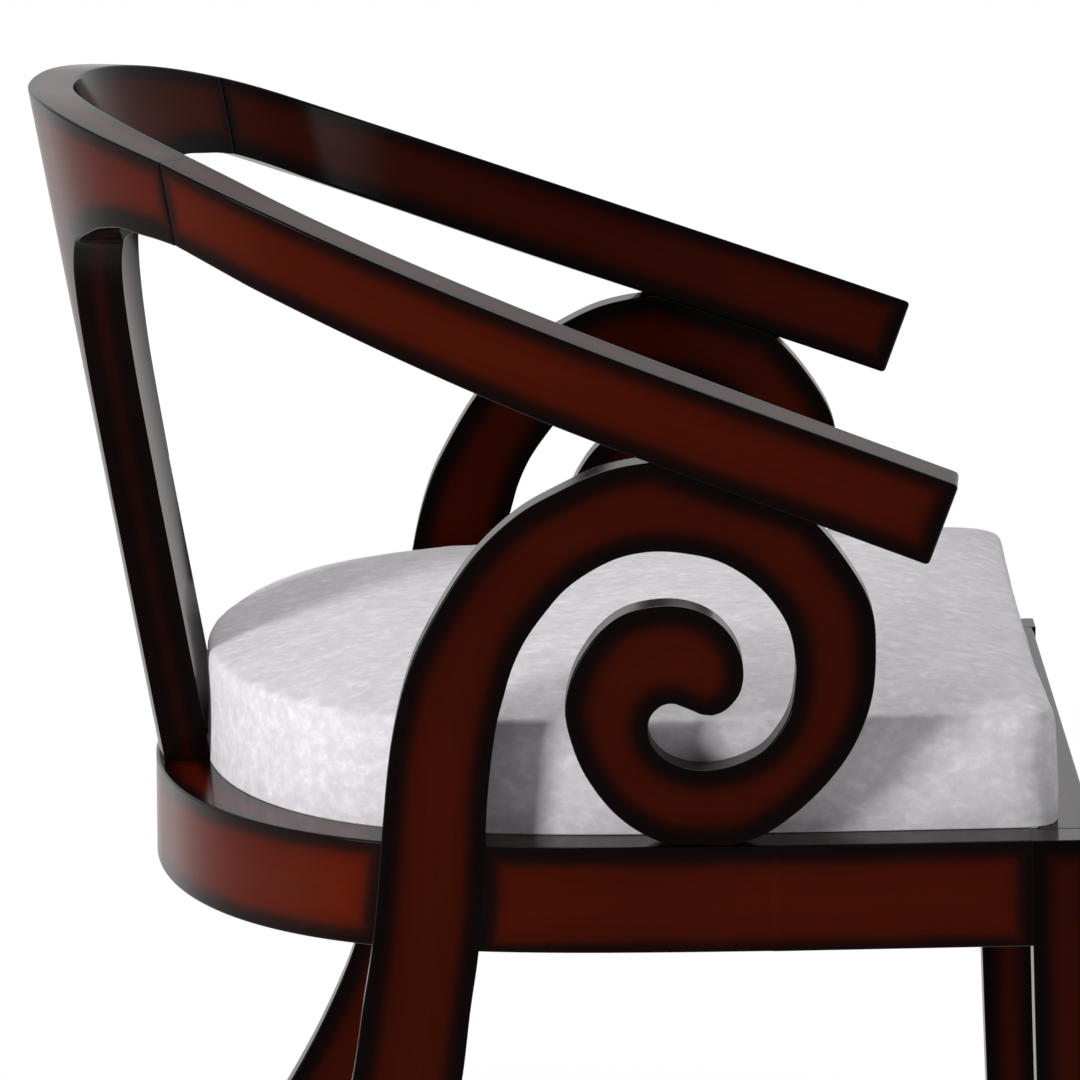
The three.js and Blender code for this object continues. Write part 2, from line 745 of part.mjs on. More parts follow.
const blockRearFront = stemFrontY - blockRearReach;
const blockRearBack = stemBackY + blockRearReach;
const rearBlockTurns = turnsBetween(seatTurnAt(blockRearFront), seatTurnAt(blockRearBack), 8);
const rearBlockPlan = [
  ...rearBlockTurns.map((turn) => seatInner(turn, railThickness + jointGap)),
  ...[...rearBlockTurns].reverse().map((turn) => seatInner(turn, railThickness + blockRearWidth)),
];
const rearScrewY = (blockRearFront + blockRearBack) / 2;
const rearScrewTurn = seatTurnAt(rearScrewY);
const rearScrewAt = seatInner(rearScrewTurn, railThickness + blockRearWidth);
const rearAlong = seatTangent(rearScrewTurn);
const rearScrewFrom = new THREE.Vector3(rearScrewAt.x, rearScrewAt.y, railTop(rearScrewAt.y) - screwUnder);
const rearScrewLine = new THREE.Vector3(rearAlong.y, -rearAlong.x, 0);
const rearScrewLength = boardCentreX(rearScrewY) - rearScrewAt.x;
const rearBlockBore = pinPair(screw, 'screw_block_rear', rearScrewFrom, rearScrewLine, rearScrewLength);

const boardScrewLength = blockHeight + jointGap + screwBite;

function boardScrew(name, x, y) {
  const z = railTop(y) - blockUnder - blockHeight;
  return pinPair(screw, name, new THREE.Vector3(x, y, z - jointGap), upZ, boardScrewLength);
}

const frontBoardBore = boardScrew('screw_board_front', cornerX - blockLeg * 0.62, cornerY + blockLeg * 0.25);
const rearBoardAt = seatInner(seatTurnAt(lerp(blockRearFront, blockRearBack, 0.2)), railThickness
  + blockRearWidth / 2);
const rearBoardBore = boardScrew('screw_board_rear', rearBoardAt.x, rearBoardAt.y);

// Glides.

const frontFoot = frontLegFaces(0);
const frontGlide = {
  x: legMiddleX,
  y: (frontFoot.front + frontFoot.back) / 2,
};
const rearGlideY = (legEdges.back.at(-1).x + legEdges.front.at(-1).x) / 2;
const frontGlideBore = pinPair((name, at) => glide(name, at.x, at.y), 'glide_front',
  new THREE.Vector3(frontGlide.x, frontGlide.y, 0), upZ);
const rearGlideBore = pinPair((name, at) => glide(name, at.x, at.y), 'glide_rear',
  new THREE.Vector3(boardCentreX(rearGlideY), rearGlideY, 0), upZ);

// Band.

const tenonRoom = tenonBlock(jointGap);
const seamRooms = seamBores.flatMap((bore) => [bore, mirrored(welded(bore))]);
add('crest_splat', cut(crestSplat(), [...seamRooms, tenonRoom]), lacquer());
addPair('arm', cut(armGeometry(), [...seamBores, ...scrollTopBores]), lacquer);

// Legs.

addPair('scroll_leg', scrollLeg([
  ...scrollTopBores,
  scrollFootBore,
  ...sideStemBores,
  ...backStemBores,
  rearBlockBore,
  rearGlideBore,
]), lacquer);
addPair('leg_front', frontLeg([...sideLegBores, ...frontLegBores, frontBlockBore, frontGlideBore]), lacquer);

// Rails.

const railBottomRoom = railTop(seatBackY) - railHeight - overrun;
const aboveRails = seatHeight + overrun;

/** The points of an edge that lie over the height of the rails, between two lines of Y. */
function beside(edge, frontY, backY) {
  return edge.filter(({ x, y }) => (
    y > railBottomRoom - railHeight && y < aboveRails + overrun && x > frontY && x < backY));
}

/** Everything ahead of the stem's back edge, which the back rail must leave free. */
function stemBackRoom() {
  const line = beside(backEdge, stemFrontY, seatBackY);
  return crossSlab([
    ...line.map((point) => new THREE.Vector2(point.x + jointGap, point.y)),
    new THREE.Vector2(seatBendY, line.at(-1).y),
    new THREE.Vector2(seatBendY, line[0].y),
  ]);
}

/** Everything behind the stem's front edge, which the side rails must leave free. */
function stemFrontRoom() {
  const line = beside(frontEdge, stemFrontY - overrun, stemBackY);
  return crossSlab([
    ...line.map((point) => new THREE.Vector2(point.x - jointGap, point.y)),
    new THREE.Vector2(seatBackY, line.at(-1).y),
    new THREE.Vector2(seatBackY, line[0].y),
  ]);
}

/** Everything ahead of the front leg's back face. */
function frontLegRoom() {
  const line = frontLegBackLine();
  const ahead = seatFrontY - frontLegDepth;
  const lift = new THREE.Vector2(0, overrun);
  return crossSlab([
    ...line,
    line.at(-1).clone().add(lift),
    new THREE.Vector2(ahead, line.at(-1).y + overrun),
    new THREE.Vector2(ahead, line[0].y),
  ]);
}

const backTurns = turnsBetween(seatTurnAt(stemFrontY), Math.PI - seatTurnAt(stemFrontY), 44);
const backRail = plate([
  ...backTurns.map((turn) => seatEdge(turn)),
  ...[...backTurns].reverse().map((turn) => seatInner(turn, railThickness)),
], 0, railHeight);
add('rail_back', cut(backRail, [
  stemBackRoom(),
  ...backStemBores.flatMap((bore) => [bore, mirrored(welded(bore))]),
  tenonRoom,
]), lacquer());

const sideTurns = turnsBetween(0, seatTurnAt(stemBackY), 14).slice(1);
const sideRail = plate([
  new THREE.Vector2(seatHalfWidth, seatFrontY),
  new THREE.Vector2(seatHalfWidth, seatBendY),
  ...sideTurns.map((turn) => seatEdge(turn)),
  ...[...sideTurns].reverse().map((turn) => seatInner(turn, railThickness)),
  new THREE.Vector2(railInnerX, seatBendY),
  new THREE.Vector2(railInnerX, seatFrontY),
], 0, railHeight);
addPair('rail_side', cut(sideRail, [
  stemFrontRoom(),
  frontLegRoom(),
  ...sideLegBores,
  ...sideStemBores,
  scrollFootBore,
  frontBlockBore,
]), lacquer);

const frontRailHalf = legInnerX - jointGap;
const frontRail = plate([
  new THREE.Vector2(-frontRailHalf, seatFrontY),
  new THREE.Vector2(frontRailHalf, seatFrontY),
  new THREE.Vector2(frontRailHalf, railInnerY),
  new THREE.Vector2(-frontRailHalf, railInnerY),
], 0, railHeight);
add('rail_front', cut(frontRail, [...frontLegBores, frontBlockBore]
  .flatMap((bore) => [bore, mirrored(welded(bore))])), lacquer());

// Seat board and blocks.

const boardTurns = turnsBetween(0, Math.PI, 56).slice(1, -1);
const seatBoard = plate([
  new THREE.Vector2(-cornerX, cornerY),
  new THREE.Vector2(cornerX, cornerY),
  new THREE.Vector2(cornerX, seatBendY),
  ...boardTurns.map((turn) => seatInner(turn, railThickness + jointGap)),
  new THREE.Vector2(-cornerX, seatBendY),
], 0, boardDepth);
add('seat_board', cut(seatBoard, [frontBoardBore, rearBoardBore]
  .flatMap((bore) => [bore, mirrored(welded(bore))])), birch());
addPair('corner_block_front', cut(plate(frontBlockPlan, blockUnder, blockHeight),
  [frontBlockBore, frontBoardBore]), birch);
addPair('corner_block_rear', cut(plate(rearBlockPlan, blockUnder, blockHeight),
  [rearBlockBore, rearBoardBore]), birch);

const tenon = new THREE.Mesh(welded(tenonBlock(0)), birch());
tenon.name = 'splat_tenon';
chair.add(tenon);

// Cushion.

/** Plan loop of the cushion: straight sides and front with round corners, bowed back. */
function cushionLoop() {
  const backY = seatBackY - cushionBackInset;
  const frontY = seatFrontY + cushionFrontInset;
  const half = seatHalfWidth - cushionInset;
  const loop = [];
  for (const turn of turnsBetween(0, Math.PI, cushionBowPoints)) {
    loop.push(seatEdge(turn, cushionInset, backY));
  }
  for (const side of [-1, 1]) {
    for (let i = 0; i <= cushionCornerPoints; i++) {
      const turn = Math.PI / 2 * (side < 0 ? i : cushionCornerPoints - i) / cushionCornerPoints;
      loop.push(new THREE.Vector2(
        side * (half - cushionCorner + cushionCorner * Math.cos(turn)),
        frontY + cushionCorner - cushionCorner * Math.sin(turn),
      ));
    }
  }
  return loop;
}

function cushion() {
  const loop = cushionLoop();
  const middle = new THREE.Vector2(0, (seatBackY + seatFrontY) / 2);
  const positions = [];
  const ring = (place) => loop.forEach((point, i) => positions.push(...place(point, i).toArray()));
  const inward = (point, pull) => {
    const reach = point.clone().sub(middle);
    return reach.multiplyScalar(1 - pull / reach.length()).add(middle);
  };
  for (const [pullShare, heightShare] of cushionSideShare) {
    ring((point) => {
      const at = inward(point, pullShare * cushionPull);
      return new THREE.Vector3(at.x, at.y, railTop(at.y) + jointGap + heightShare * cushionSide);
    });
  }
  for (const [outShare, riseShare] of cushionCrownShare) {
    ring((point) => {
      const at = point.clone().sub(middle).multiplyScalar(outShare).add(middle);
      const top = railTop(at.y) + jointGap + cushionSide;
      return new THREE.Vector3(at.x, at.y, top + riseShare * cushionCrown);
    });
  }
  const rings = cushionSideShare.length + cushionCrownShare.length;
  const count = loop.length;
  const index = [];
  for (let i = 0; i + 1 < rings; i++) {
    for (let j = 0; j < count; j++) {
      const a = i * count + j;
      const b = i * count + (j + 1) % count;
      index.push(a, b, b + count, a, b + count, a + count);
    }
  }
  const low = rings * count;
  positions.push(middle.x, middle.y, railTop(middle.y) + jointGap);
  positions.push(middle.x, middle.y, railTop(middle.y) + jointGap + cushionSide + cushionCrown);
  const last = (rings - 1) * count;
  for (let j = 0; j < count; j++) {
    const k = (j + 1) % count;
    index.push(low, k, j);
    index.push(low + 1, last + j, last + k);
  }
  return closedGeometry(positions, index);
}

add('seat_cushion', cushion(), velvet());

// The origin is under the middle of the chair's own box.

const box = new THREE.Box3().setFromObject(chair);
chair.position.y = -(box.min.y + box.max.y) / 2;
chair.updateMatrixWorld(true);

export default chair;
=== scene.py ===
"""Looks of a klismos armchair: lacquered wood with edges shaded to black, and a velvet cushion.

Every wooden piece that shows is a bar: a rounded section carried along a path as whole numpy
arrays. Sizes are millimetres in the chair's own frame, +X to the sitter's left, +Y to the back,
+Z up.
"""

import json
import logging
import math
from dataclasses import dataclass, field
from enum import Enum
from typing import Callable

import bpy
import numpy as np
from mathutils import Matrix, Vector

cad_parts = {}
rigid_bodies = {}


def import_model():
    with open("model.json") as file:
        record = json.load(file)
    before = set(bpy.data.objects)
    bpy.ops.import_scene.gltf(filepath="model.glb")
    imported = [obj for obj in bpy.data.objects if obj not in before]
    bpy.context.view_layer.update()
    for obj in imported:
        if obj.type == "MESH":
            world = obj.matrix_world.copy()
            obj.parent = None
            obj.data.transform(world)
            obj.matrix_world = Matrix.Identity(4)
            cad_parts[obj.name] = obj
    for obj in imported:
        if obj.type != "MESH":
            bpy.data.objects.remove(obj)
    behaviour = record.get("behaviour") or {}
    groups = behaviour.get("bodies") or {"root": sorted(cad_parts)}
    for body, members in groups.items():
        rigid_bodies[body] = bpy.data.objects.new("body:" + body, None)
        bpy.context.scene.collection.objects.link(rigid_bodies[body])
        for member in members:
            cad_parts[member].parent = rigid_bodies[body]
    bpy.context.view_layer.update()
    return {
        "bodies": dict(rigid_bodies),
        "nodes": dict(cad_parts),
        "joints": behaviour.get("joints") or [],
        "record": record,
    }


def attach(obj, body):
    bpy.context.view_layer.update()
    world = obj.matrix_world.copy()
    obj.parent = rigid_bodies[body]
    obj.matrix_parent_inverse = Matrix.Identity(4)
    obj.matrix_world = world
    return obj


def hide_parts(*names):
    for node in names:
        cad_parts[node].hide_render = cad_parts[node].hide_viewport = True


LOG = logging.getLogger("klismos")
Array = np.ndarray
MM = 0.001
WHITE = (1.0, 1.0, 1.0, 1.0)
# First and last turn at which the side of the seat's outline is read. At no turn at all the
# curve stands still and has no direction.
LEAST_TURN, MOST_TURN = 0.004, 1.4
# Moves the noise so that its zero, which shows as a still point, lies outside the chair.
NOISE_SHIFT = (0.137, 0.211, -0.4)
Place = Callable[[Array, Array, Array], Array]
Triple = tuple[float, float, float]
Rows = tuple[tuple[float, ...], ...]
Stops = list[tuple[float, tuple[float, ...]]]
Socket = bpy.types.NodeSocket


def smoothstep(share: Array) -> Array:
    """Eased share, from 0 to 1."""
    share = np.clip(share, 0.0, 1.0)
    return share * share * (3.0 - 2.0 * share)


def lerp(a: Array | float, b: Array | float, share: Array | float) -> Array:
    """Value between a and b by a share."""
    return a + (b - a) * share


def catmull(points: Array, at: Array) -> Array:
    """Uniform Catmull-Rom curve through points, read at fractional point numbers.

    Args:
        points: Array of shape (n, k).
        at: Point numbers from 0 to n - 1, of any shape.

    Returns:
        Array of the shape of at, with k values each.
    """
    last = len(points) - 1
    i = np.clip(np.floor(at).astype(int), 0, last - 1)
    t = (at - i)[..., None]
    p0, p1 = points[np.maximum(i - 1, 0)], points[i]
    p2, p3 = points[i + 1], points[np.minimum(i + 2, last)]
    v0, v1 = (p2 - p0) / 2, (p3 - p1) / 2
    return (2 * (p1 - p2) + v0 + v1) * t**3 + (3 * (p2 - p1) - 2 * v0 - v1) * t**2 + v0 * t + p1


def run_along(track: Array) -> Array:
    """Length from a track's first point to each of its points."""
    steps = np.linalg.norm(np.diff(track, axis=0), axis=1)
    return np.concatenate([[0.0], np.cumsum(steps)])


def resampled(track: Array, count: int) -> Array:
    """Shares of a track that are evenly spaced along its length.

    Args:
        track: Points of shape (n, k) read at evenly spaced shares.
        count: How many shares to give.

    Returns:
        Array of shares from 0 to 1.
    """
    run = run_along(track)
    return np.interp(np.linspace(0, run[-1], count), run, np.linspace(0, 1, len(track)))


def columns(at: Array, rows: Array) -> list[Array]:
    """Each column of evenly spaced rows, read at shares from 0 to 1."""
    share = np.linspace(0, 1, len(rows))
    return [np.interp(at, share, column) for column in rows.T]


def polar(angle: Array, loop: Array) -> Array:
    """Distance of a closed loop from the origin at each angle."""
    x, y = loop.T
    return np.interp(angle, np.arctan2(y, x), np.hypot(x, y), period=2 * np.pi)


def nearest(points: Array, targets: Array, batch: int = 4000) -> Array:
    """Distance from each point to the nearest target.

    Args:
        points: Array of shape (n, 3).
        targets: Array of shape (m, 3).
        batch: How many points are measured at once.

    Returns:
        Array of n distances.
    """
    best = np.empty(len(points))
    square = (targets**2).sum(1)
    for start in range(0, len(points), batch):
        part = points[start:start + batch]
        gap = (part**2).sum(1)[:, None] + square[None] - 2 * part @ targets.T
        best[start:start + batch] = np.sqrt(np.maximum(gap.min(1), 0))
    return best


def linked(name: str, data: bpy.types.ID) -> bpy.types.Object:
    """A new object of some data, in the scene and at the origin."""
    thing = bpy.data.objects.new(name, data)
    bpy.context.scene.collection.objects.link(thing)
    return thing


def mesh_object(name: str, verts: Array, faces: list[Array]) -> bpy.types.Object:
    """An object from vertices and faces.

    Args:
        name: Name of the piece.
        verts: Array of shape (n, 3), in millimetres.
        faces: Arrays of vertex numbers, one for each count of corners.

    Returns:
        The object.
    """
    corner = np.concatenate([part.ravel() for part in faces])
    totals = np.concatenate([np.full(len(part), part.shape[1]) for part in faces])
    mesh = bpy.data.meshes.new(name)
    mesh.vertices.add(len(verts))
    mesh.vertices.foreach_set("co", (verts * MM).astype(np.float32).ravel())
    mesh.loops.add(len(corner))
    mesh.loops.foreach_set("vertex_index", corner.astype(np.int32))
    mesh.polygons.add(len(totals))
    mesh.polygons.foreach_set("loop_start", (np.cumsum(totals) - totals).astype(np.int32))
    mesh.polygons.foreach_set("use_smooth", np.ones(len(totals), bool))
    mesh.update(calc_edges=True)
    mesh.validate()
    return linked(name, mesh)


def grid_object(name: str, points: Array, grain_u: Array, grain_v: Array) -> bpy.types.Object:
    """A closed mesh from rings whose first and last have shrunk to a point.

    Args:
        name: Name of the piece.
        points: Array of shape (rings, points, 3), in millimetres.
        grain_u: Grain coordinate of each ring.
        grain_v: Grain coordinate of each ring point, with one more for the wrap.

    Returns:
        The object, with its grain as a UV map.
    """
    rings, count = points.shape[:2]
    verts = np.vstack([points[1:-1].reshape(-1, 3), points[0].mean(0), points[-1].mean(0)])
    i, j = np.meshgrid(np.arange(rings - 3), np.arange(count), indexing="ij")
    k, corners = (j + 1) % count, ((1, 0), (1, 1), (2, 1), (2, 0))
    quads = np.stack([i * count + j, i * count + k, (i + 1) * count + k, (i + 1) * count + j], -1)
    quad_uv = np.stack([np.stack([grain_u[i + up], grain_v[j + on]], -1) for up, on in corners], 2)
    faces, uvs = [quads.reshape(-1, 4)], [quad_uv.reshape(-1, 4, 2)]
    row = np.arange(count)
    ends = ((0, 1, 0, (1, 0)), ((rings - 3) * count, -2, -1, (0, 1)))
    for number, (first, ring, tip, order) in enumerate(ends):
        rim = [first + (row + on) % count for on in order]
        faces.append(np.stack([*rim, np.full(count, len(verts) - 2 + number)], -1))
        fan = [(grain_u[ring], grain_v[row + on]) for on in order] + [(grain_u[tip], grain_v[:-1])]
        uvs.append(np.stack([np.stack(np.broadcast_arrays(u, v), -1) for u, v in fan], 1))
    a, b, c, d = (verts[faces[0][:, n]] for n in range(4))
    if (np.cross(b - a, c - a) * a + np.cross(c - a, d - a) * a).sum() < 0:
        faces, uvs = [part[:, ::-1] for part in faces], [part[:, ::-1] for part in uvs]
    thing = mesh_object(name, verts, faces)
    uv = np.concatenate([part.reshape(-1, 2) for part in uvs])
    layer = thing.data.uv_layers.new(name="grain")
    layer.data.foreach_set("uv", (uv * MM).astype(np.float32).ravel())
    return thing


class Side(Enum):
    """Which side of the chair a piece is on, by the sign of its X."""

    LEFT = 1
    RIGHT = -1


def mirrored(place: Place, side: Side) -> Place:
    """The placing rule for the given side of the chair."""
    sign = np.array([side.value, 1.0, 1.0])
    return lambda s, a, b: place(s, a, b) * sign


@dataclass(frozen=True)
class Rounding:
    """How a bar is rounded along its edges and round its ends, and how finely it is cut.

    The radii are in millimetres. A section has wide points along a, narrow ones along b and
    corner points round each corner. The path has steps sections, and each end has rings over its
    flat cap and round its turn. Where an end draws a section in, its corners keep a share of the
    radius, and at most a share of the shorter side.
    """

    radius: float = 1.3
    start_radius: float = 1.0
    end_radius: float = 1.0
    wide: int = 16
    narrow: int = 10
    corner: int = 4
    steps: int = 160
    cap_rings: int = 8
    turn_rings: int = 7
    kept: float = 0.3
    most: float = 0.46


@dataclass
class Bar:
    """A rounded section carried along a path.

    The section is a rectangle of a by b; place turns shares of the path, a and b into points. The
    trim is how much narrower the black border is along the edges (0, 0), (0, 1), (1, 0) and
    (1, 1), and at the ends. The tone is how bright the wood is at the start, along the middle and
    at the end.
    """

    name: str
    place: Place
    rounding: Rounding = field(default_factory=Rounding)
    trim: tuple[float, ...] = (0.0, 0.0, 0.0, 0.0, 0.0, 0.0)
    tone: Triple = (1.0, 1.0, 1.0)
    tone_at: tuple[float, ...] = (0.0, 0.16, 0.84, 1.0)
    size_points: int = 400
    edge_points: int = 700
    rim_points: int = 40

    def _line(self, a: float, b: float, count: int) -> Array:
        """Points along the path at one place of the section."""
        run = np.linspace(0, 1, count)[:, None]
        return self.place(run, np.full_like(run, a), np.full_like(run, b))[:, 0]

    def _stations(self, length: float) -> tuple[Array, Array, Array]:
        """The rings from the middle of one end to the middle of the other.

        At an end the inset follows a quarter circle: inset = r (1 - sin), run = r (1 - cos).

        Args:
            length: Length of the path in millimetres.

        Returns:
            Path share, inset and cap scale of each ring.
        """
        spec = self.rounding
        start, end = spec.start_radius, spec.end_radius
        turn = np.linspace(0, np.pi / 2, spec.turn_rings)
        cap = np.linspace(0, 1, spec.cap_rings + 1)[:-1]
        run = np.concatenate([np.zeros(len(cap)), 1 - np.cos(turn)])
        drawn = np.concatenate([np.ones(len(cap)), 1 - np.sin(turn)])
        grown = np.concatenate([cap, np.ones(len(turn))])
        first, last = start / length, end / length
        middle = np.linspace(first, 1 - last, spec.steps)[1:-1]
        share = np.concatenate([first * run, middle, 1 - last * run[::-1]])
        inset = np.concatenate([start * drawn, np.zeros(len(middle)), end * drawn[::-1]])
        scale = np.concatenate([grown, np.ones(len(middle)), grown[::-1]])
        return share, inset, scale

    def _ring(self, a: Array, b: Array, inset: Array) -> tuple[Array, Array]:
        """Points round rectangles with round corners, as lengths from the corner at zero.

        Args:
            a: Lengths of the first side, one for each ring.
            b: Lengths of the second side.
            inset: How far each ring is drawn in.

        Returns:
            Two arrays of shape (rings, points).
        """
        spec, inset = self.rounding, inset[:, None]
        a, b = a[:, None] - 2 * inset, b[:, None] - 2 * inset
        r = np.minimum(np.maximum(spec.radius - inset, spec.kept * spec.radius),
                       spec.most * np.minimum(a, b))
        wide = (1 - np.cos(np.linspace(0, np.pi, spec.wide))) / 2
        narrow = (1 - np.cos(np.linspace(0, np.pi, spec.narrow))) / 2
        turn = np.linspace(0, np.pi / 2, spec.corner + 2)[1:-1]
        sin, cos = np.sin(turn)[None], np.cos(turn)[None]
        along_a, along_b = r + (a - 2 * r) * wide[None], r + (b - 2 * r) * narrow[None]
        zero_a, zero_b = np.zeros_like(along_a), np.zeros_like(along_b)
        ring_a = np.hstack([
            along_a, a - r + r * sin, a + zero_b, a - r + r * cos,
            along_a[:, ::-1], r - r * sin, zero_b, r - r * cos,
        ])
        ring_b = np.hstack([
            zero_a, r - r * cos, along_b, b - r + r * sin,
            b + zero_a, b - r + r * cos, along_b[:, ::-1], r - r * sin,
        ])
        return ring_a + inset, ring_b + inset

    def _edge_lines(self) -> list[Array]:
        """Points along the four long edges and round both ends, which the shading follows."""
        lines = [self._line(a, b, self.edge_points) for a in (0.0, 1.0) for b in (0.0, 1.0)]
        rim = np.linspace(0, 1, self.rim_points)
        zero, one = np.zeros_like(rim), np.ones_like(rim)
        rim_a = np.concatenate([rim, one, rim, zero])[None]
        rim_b = np.concatenate([zero, rim, one, rim])[None]
        return lines + [self.place(np.full_like(rim_a, at), rim_a, rim_b)[0] for at in (0.0, 1.0)]

    def build(self, shift: float) -> bpy.types.Object:
        """Makes the mesh with its grain coordinates, edge distance and tone.

        Args:
            shift: Millimetres added to every Y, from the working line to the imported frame.

        Returns:
            The new object, at the origin.
        """
        zero, a_edge, b_edge, middle = (
            self._line(a, b, self.size_points) for a, b in ((0, 0), (1, 0), (0, 1), (0.5, 0.5)))
        length = float(np.linalg.norm(np.diff(middle, axis=0), axis=1).sum())
        share, inset, scale = self._stations(length)
        a_size, b_size = columns(share, np.stack(
            [np.linalg.norm(edge - zero, axis=1) for edge in (a_edge, b_edge)], -1))
        least = self.rounding.kept * np.minimum(a_size, b_size)
        ring_a, ring_b = self._ring(a_size, b_size, np.minimum(inset, least))
        share_a = 0.5 + (ring_a / a_size[:, None] - 0.5) * scale[:, None]
        share_b = 0.5 + (ring_b / b_size[:, None] - 0.5) * scale[:, None]
        around = ring_a.shape[1]
        points = self.place(np.repeat(share[:, None], around, axis=1), share_a, share_b)
        points[..., 1] += shift
        loop = points[len(points) // 2]
        grain_u = share * length + np.linspace(0, 1, len(share))
        thing = grid_object(self.name, points, grain_u, run_along(np.vstack([loop, loop[:1]])))
        verts = np.vstack([points[1:-1].reshape(-1, 3), points[0].mean(0), points[-1].mean(0)])
        far = [nearest(verts, line + [0.0, shift, 0.0]) + trim
               for line, trim in zip(self._edge_lines(), self.trim)]
        first, middle_tone, last = self.tone
        bright = np.interp(share, self.tone_at, (first, middle_tone, middle_tone, last))
        bright = np.append(np.repeat(bright[1:-1], around), (first, last))
        for word, values in (("edge", np.min(far, axis=0)), ("tone", bright)):
            layer = thing.data.attributes.new(word, "FLOAT", "POINT")
            layer.data.foreach_set("value", values.astype(np.float32))
        return thing


@dataclass
class SeatPlan:
    """Plan outline and tilt of the seat frame."""

    height: float = 418.0
    fall: float = 11.6
    front_y: float = -282.0
    bend_y: float = -134.0
    back_y: float = 234.0
    half_width: float = 279.0
    draw: float = 0.03
    rail_height: float = 58.0
    rail_thickness: float = 30.0
    samples: int = 4000

    def rail_top(self, y: Array | float) -> Array | float:
        """Height of the rails' top at a Y."""
        return self.height - self.fall * (y - self.front_y) / (self.back_y - self.front_y)

    def bow(self, turn: Array, inset: float = 0.0, back_inset: float = 0.0) -> Array:
        """The bowed back in plan, drawn in at its sides and at its back.

        The half width shrinks as the cosine of the turn while Y grows as the root of its sine.
        """
        along = np.sqrt(np.abs(np.sin(turn)))
        x = (self.half_width - inset) * (1 - self.draw * along) * np.cos(turn)
        return np.stack([x, self.bend_y + (self.back_y - back_inset - self.bend_y) * along], -1)

    def outline(self, turn: Array, inset: float = 0.0) -> Array:
        """Plan outline by its turn, moved in square to itself.

        Args:
            turn: Angles from 0 at the sitter's left to a half turn.
            inset: How far in.

        Returns:
            Array of X and Y.
        """
        step = 0.002
        along = self.bow(turn + step) - self.bow(turn - step)
        along /= np.linalg.norm(along, axis=-1, keepdims=True)
        return self.bow(turn) + inset * np.stack([-along[..., 1], along[..., 0]], -1)

    def turn_at(self, y: float, inset: float = 0.0) -> float:
        """Turn at which the outline, moved in, reaches a Y on the sitter's left."""
        turns = np.linspace(LEAST_TURN, np.pi / 2, self.samples)
        return float(np.interp(y, self.outline(turns, inset)[:, 1], turns))

    def side_x(self, y: Array, inset: float = 0.0) -> Array:
        """X of the outline, moved in, on the sitter's left at each Y."""
        curve = self.outline(np.linspace(LEAST_TURN, MOST_TURN, self.samples), inset)
        bowed = np.interp(y, curve[:, 1], curve[:, 0])
        return np.where(y <= curve[0, 1], self.half_width - inset, bowed)


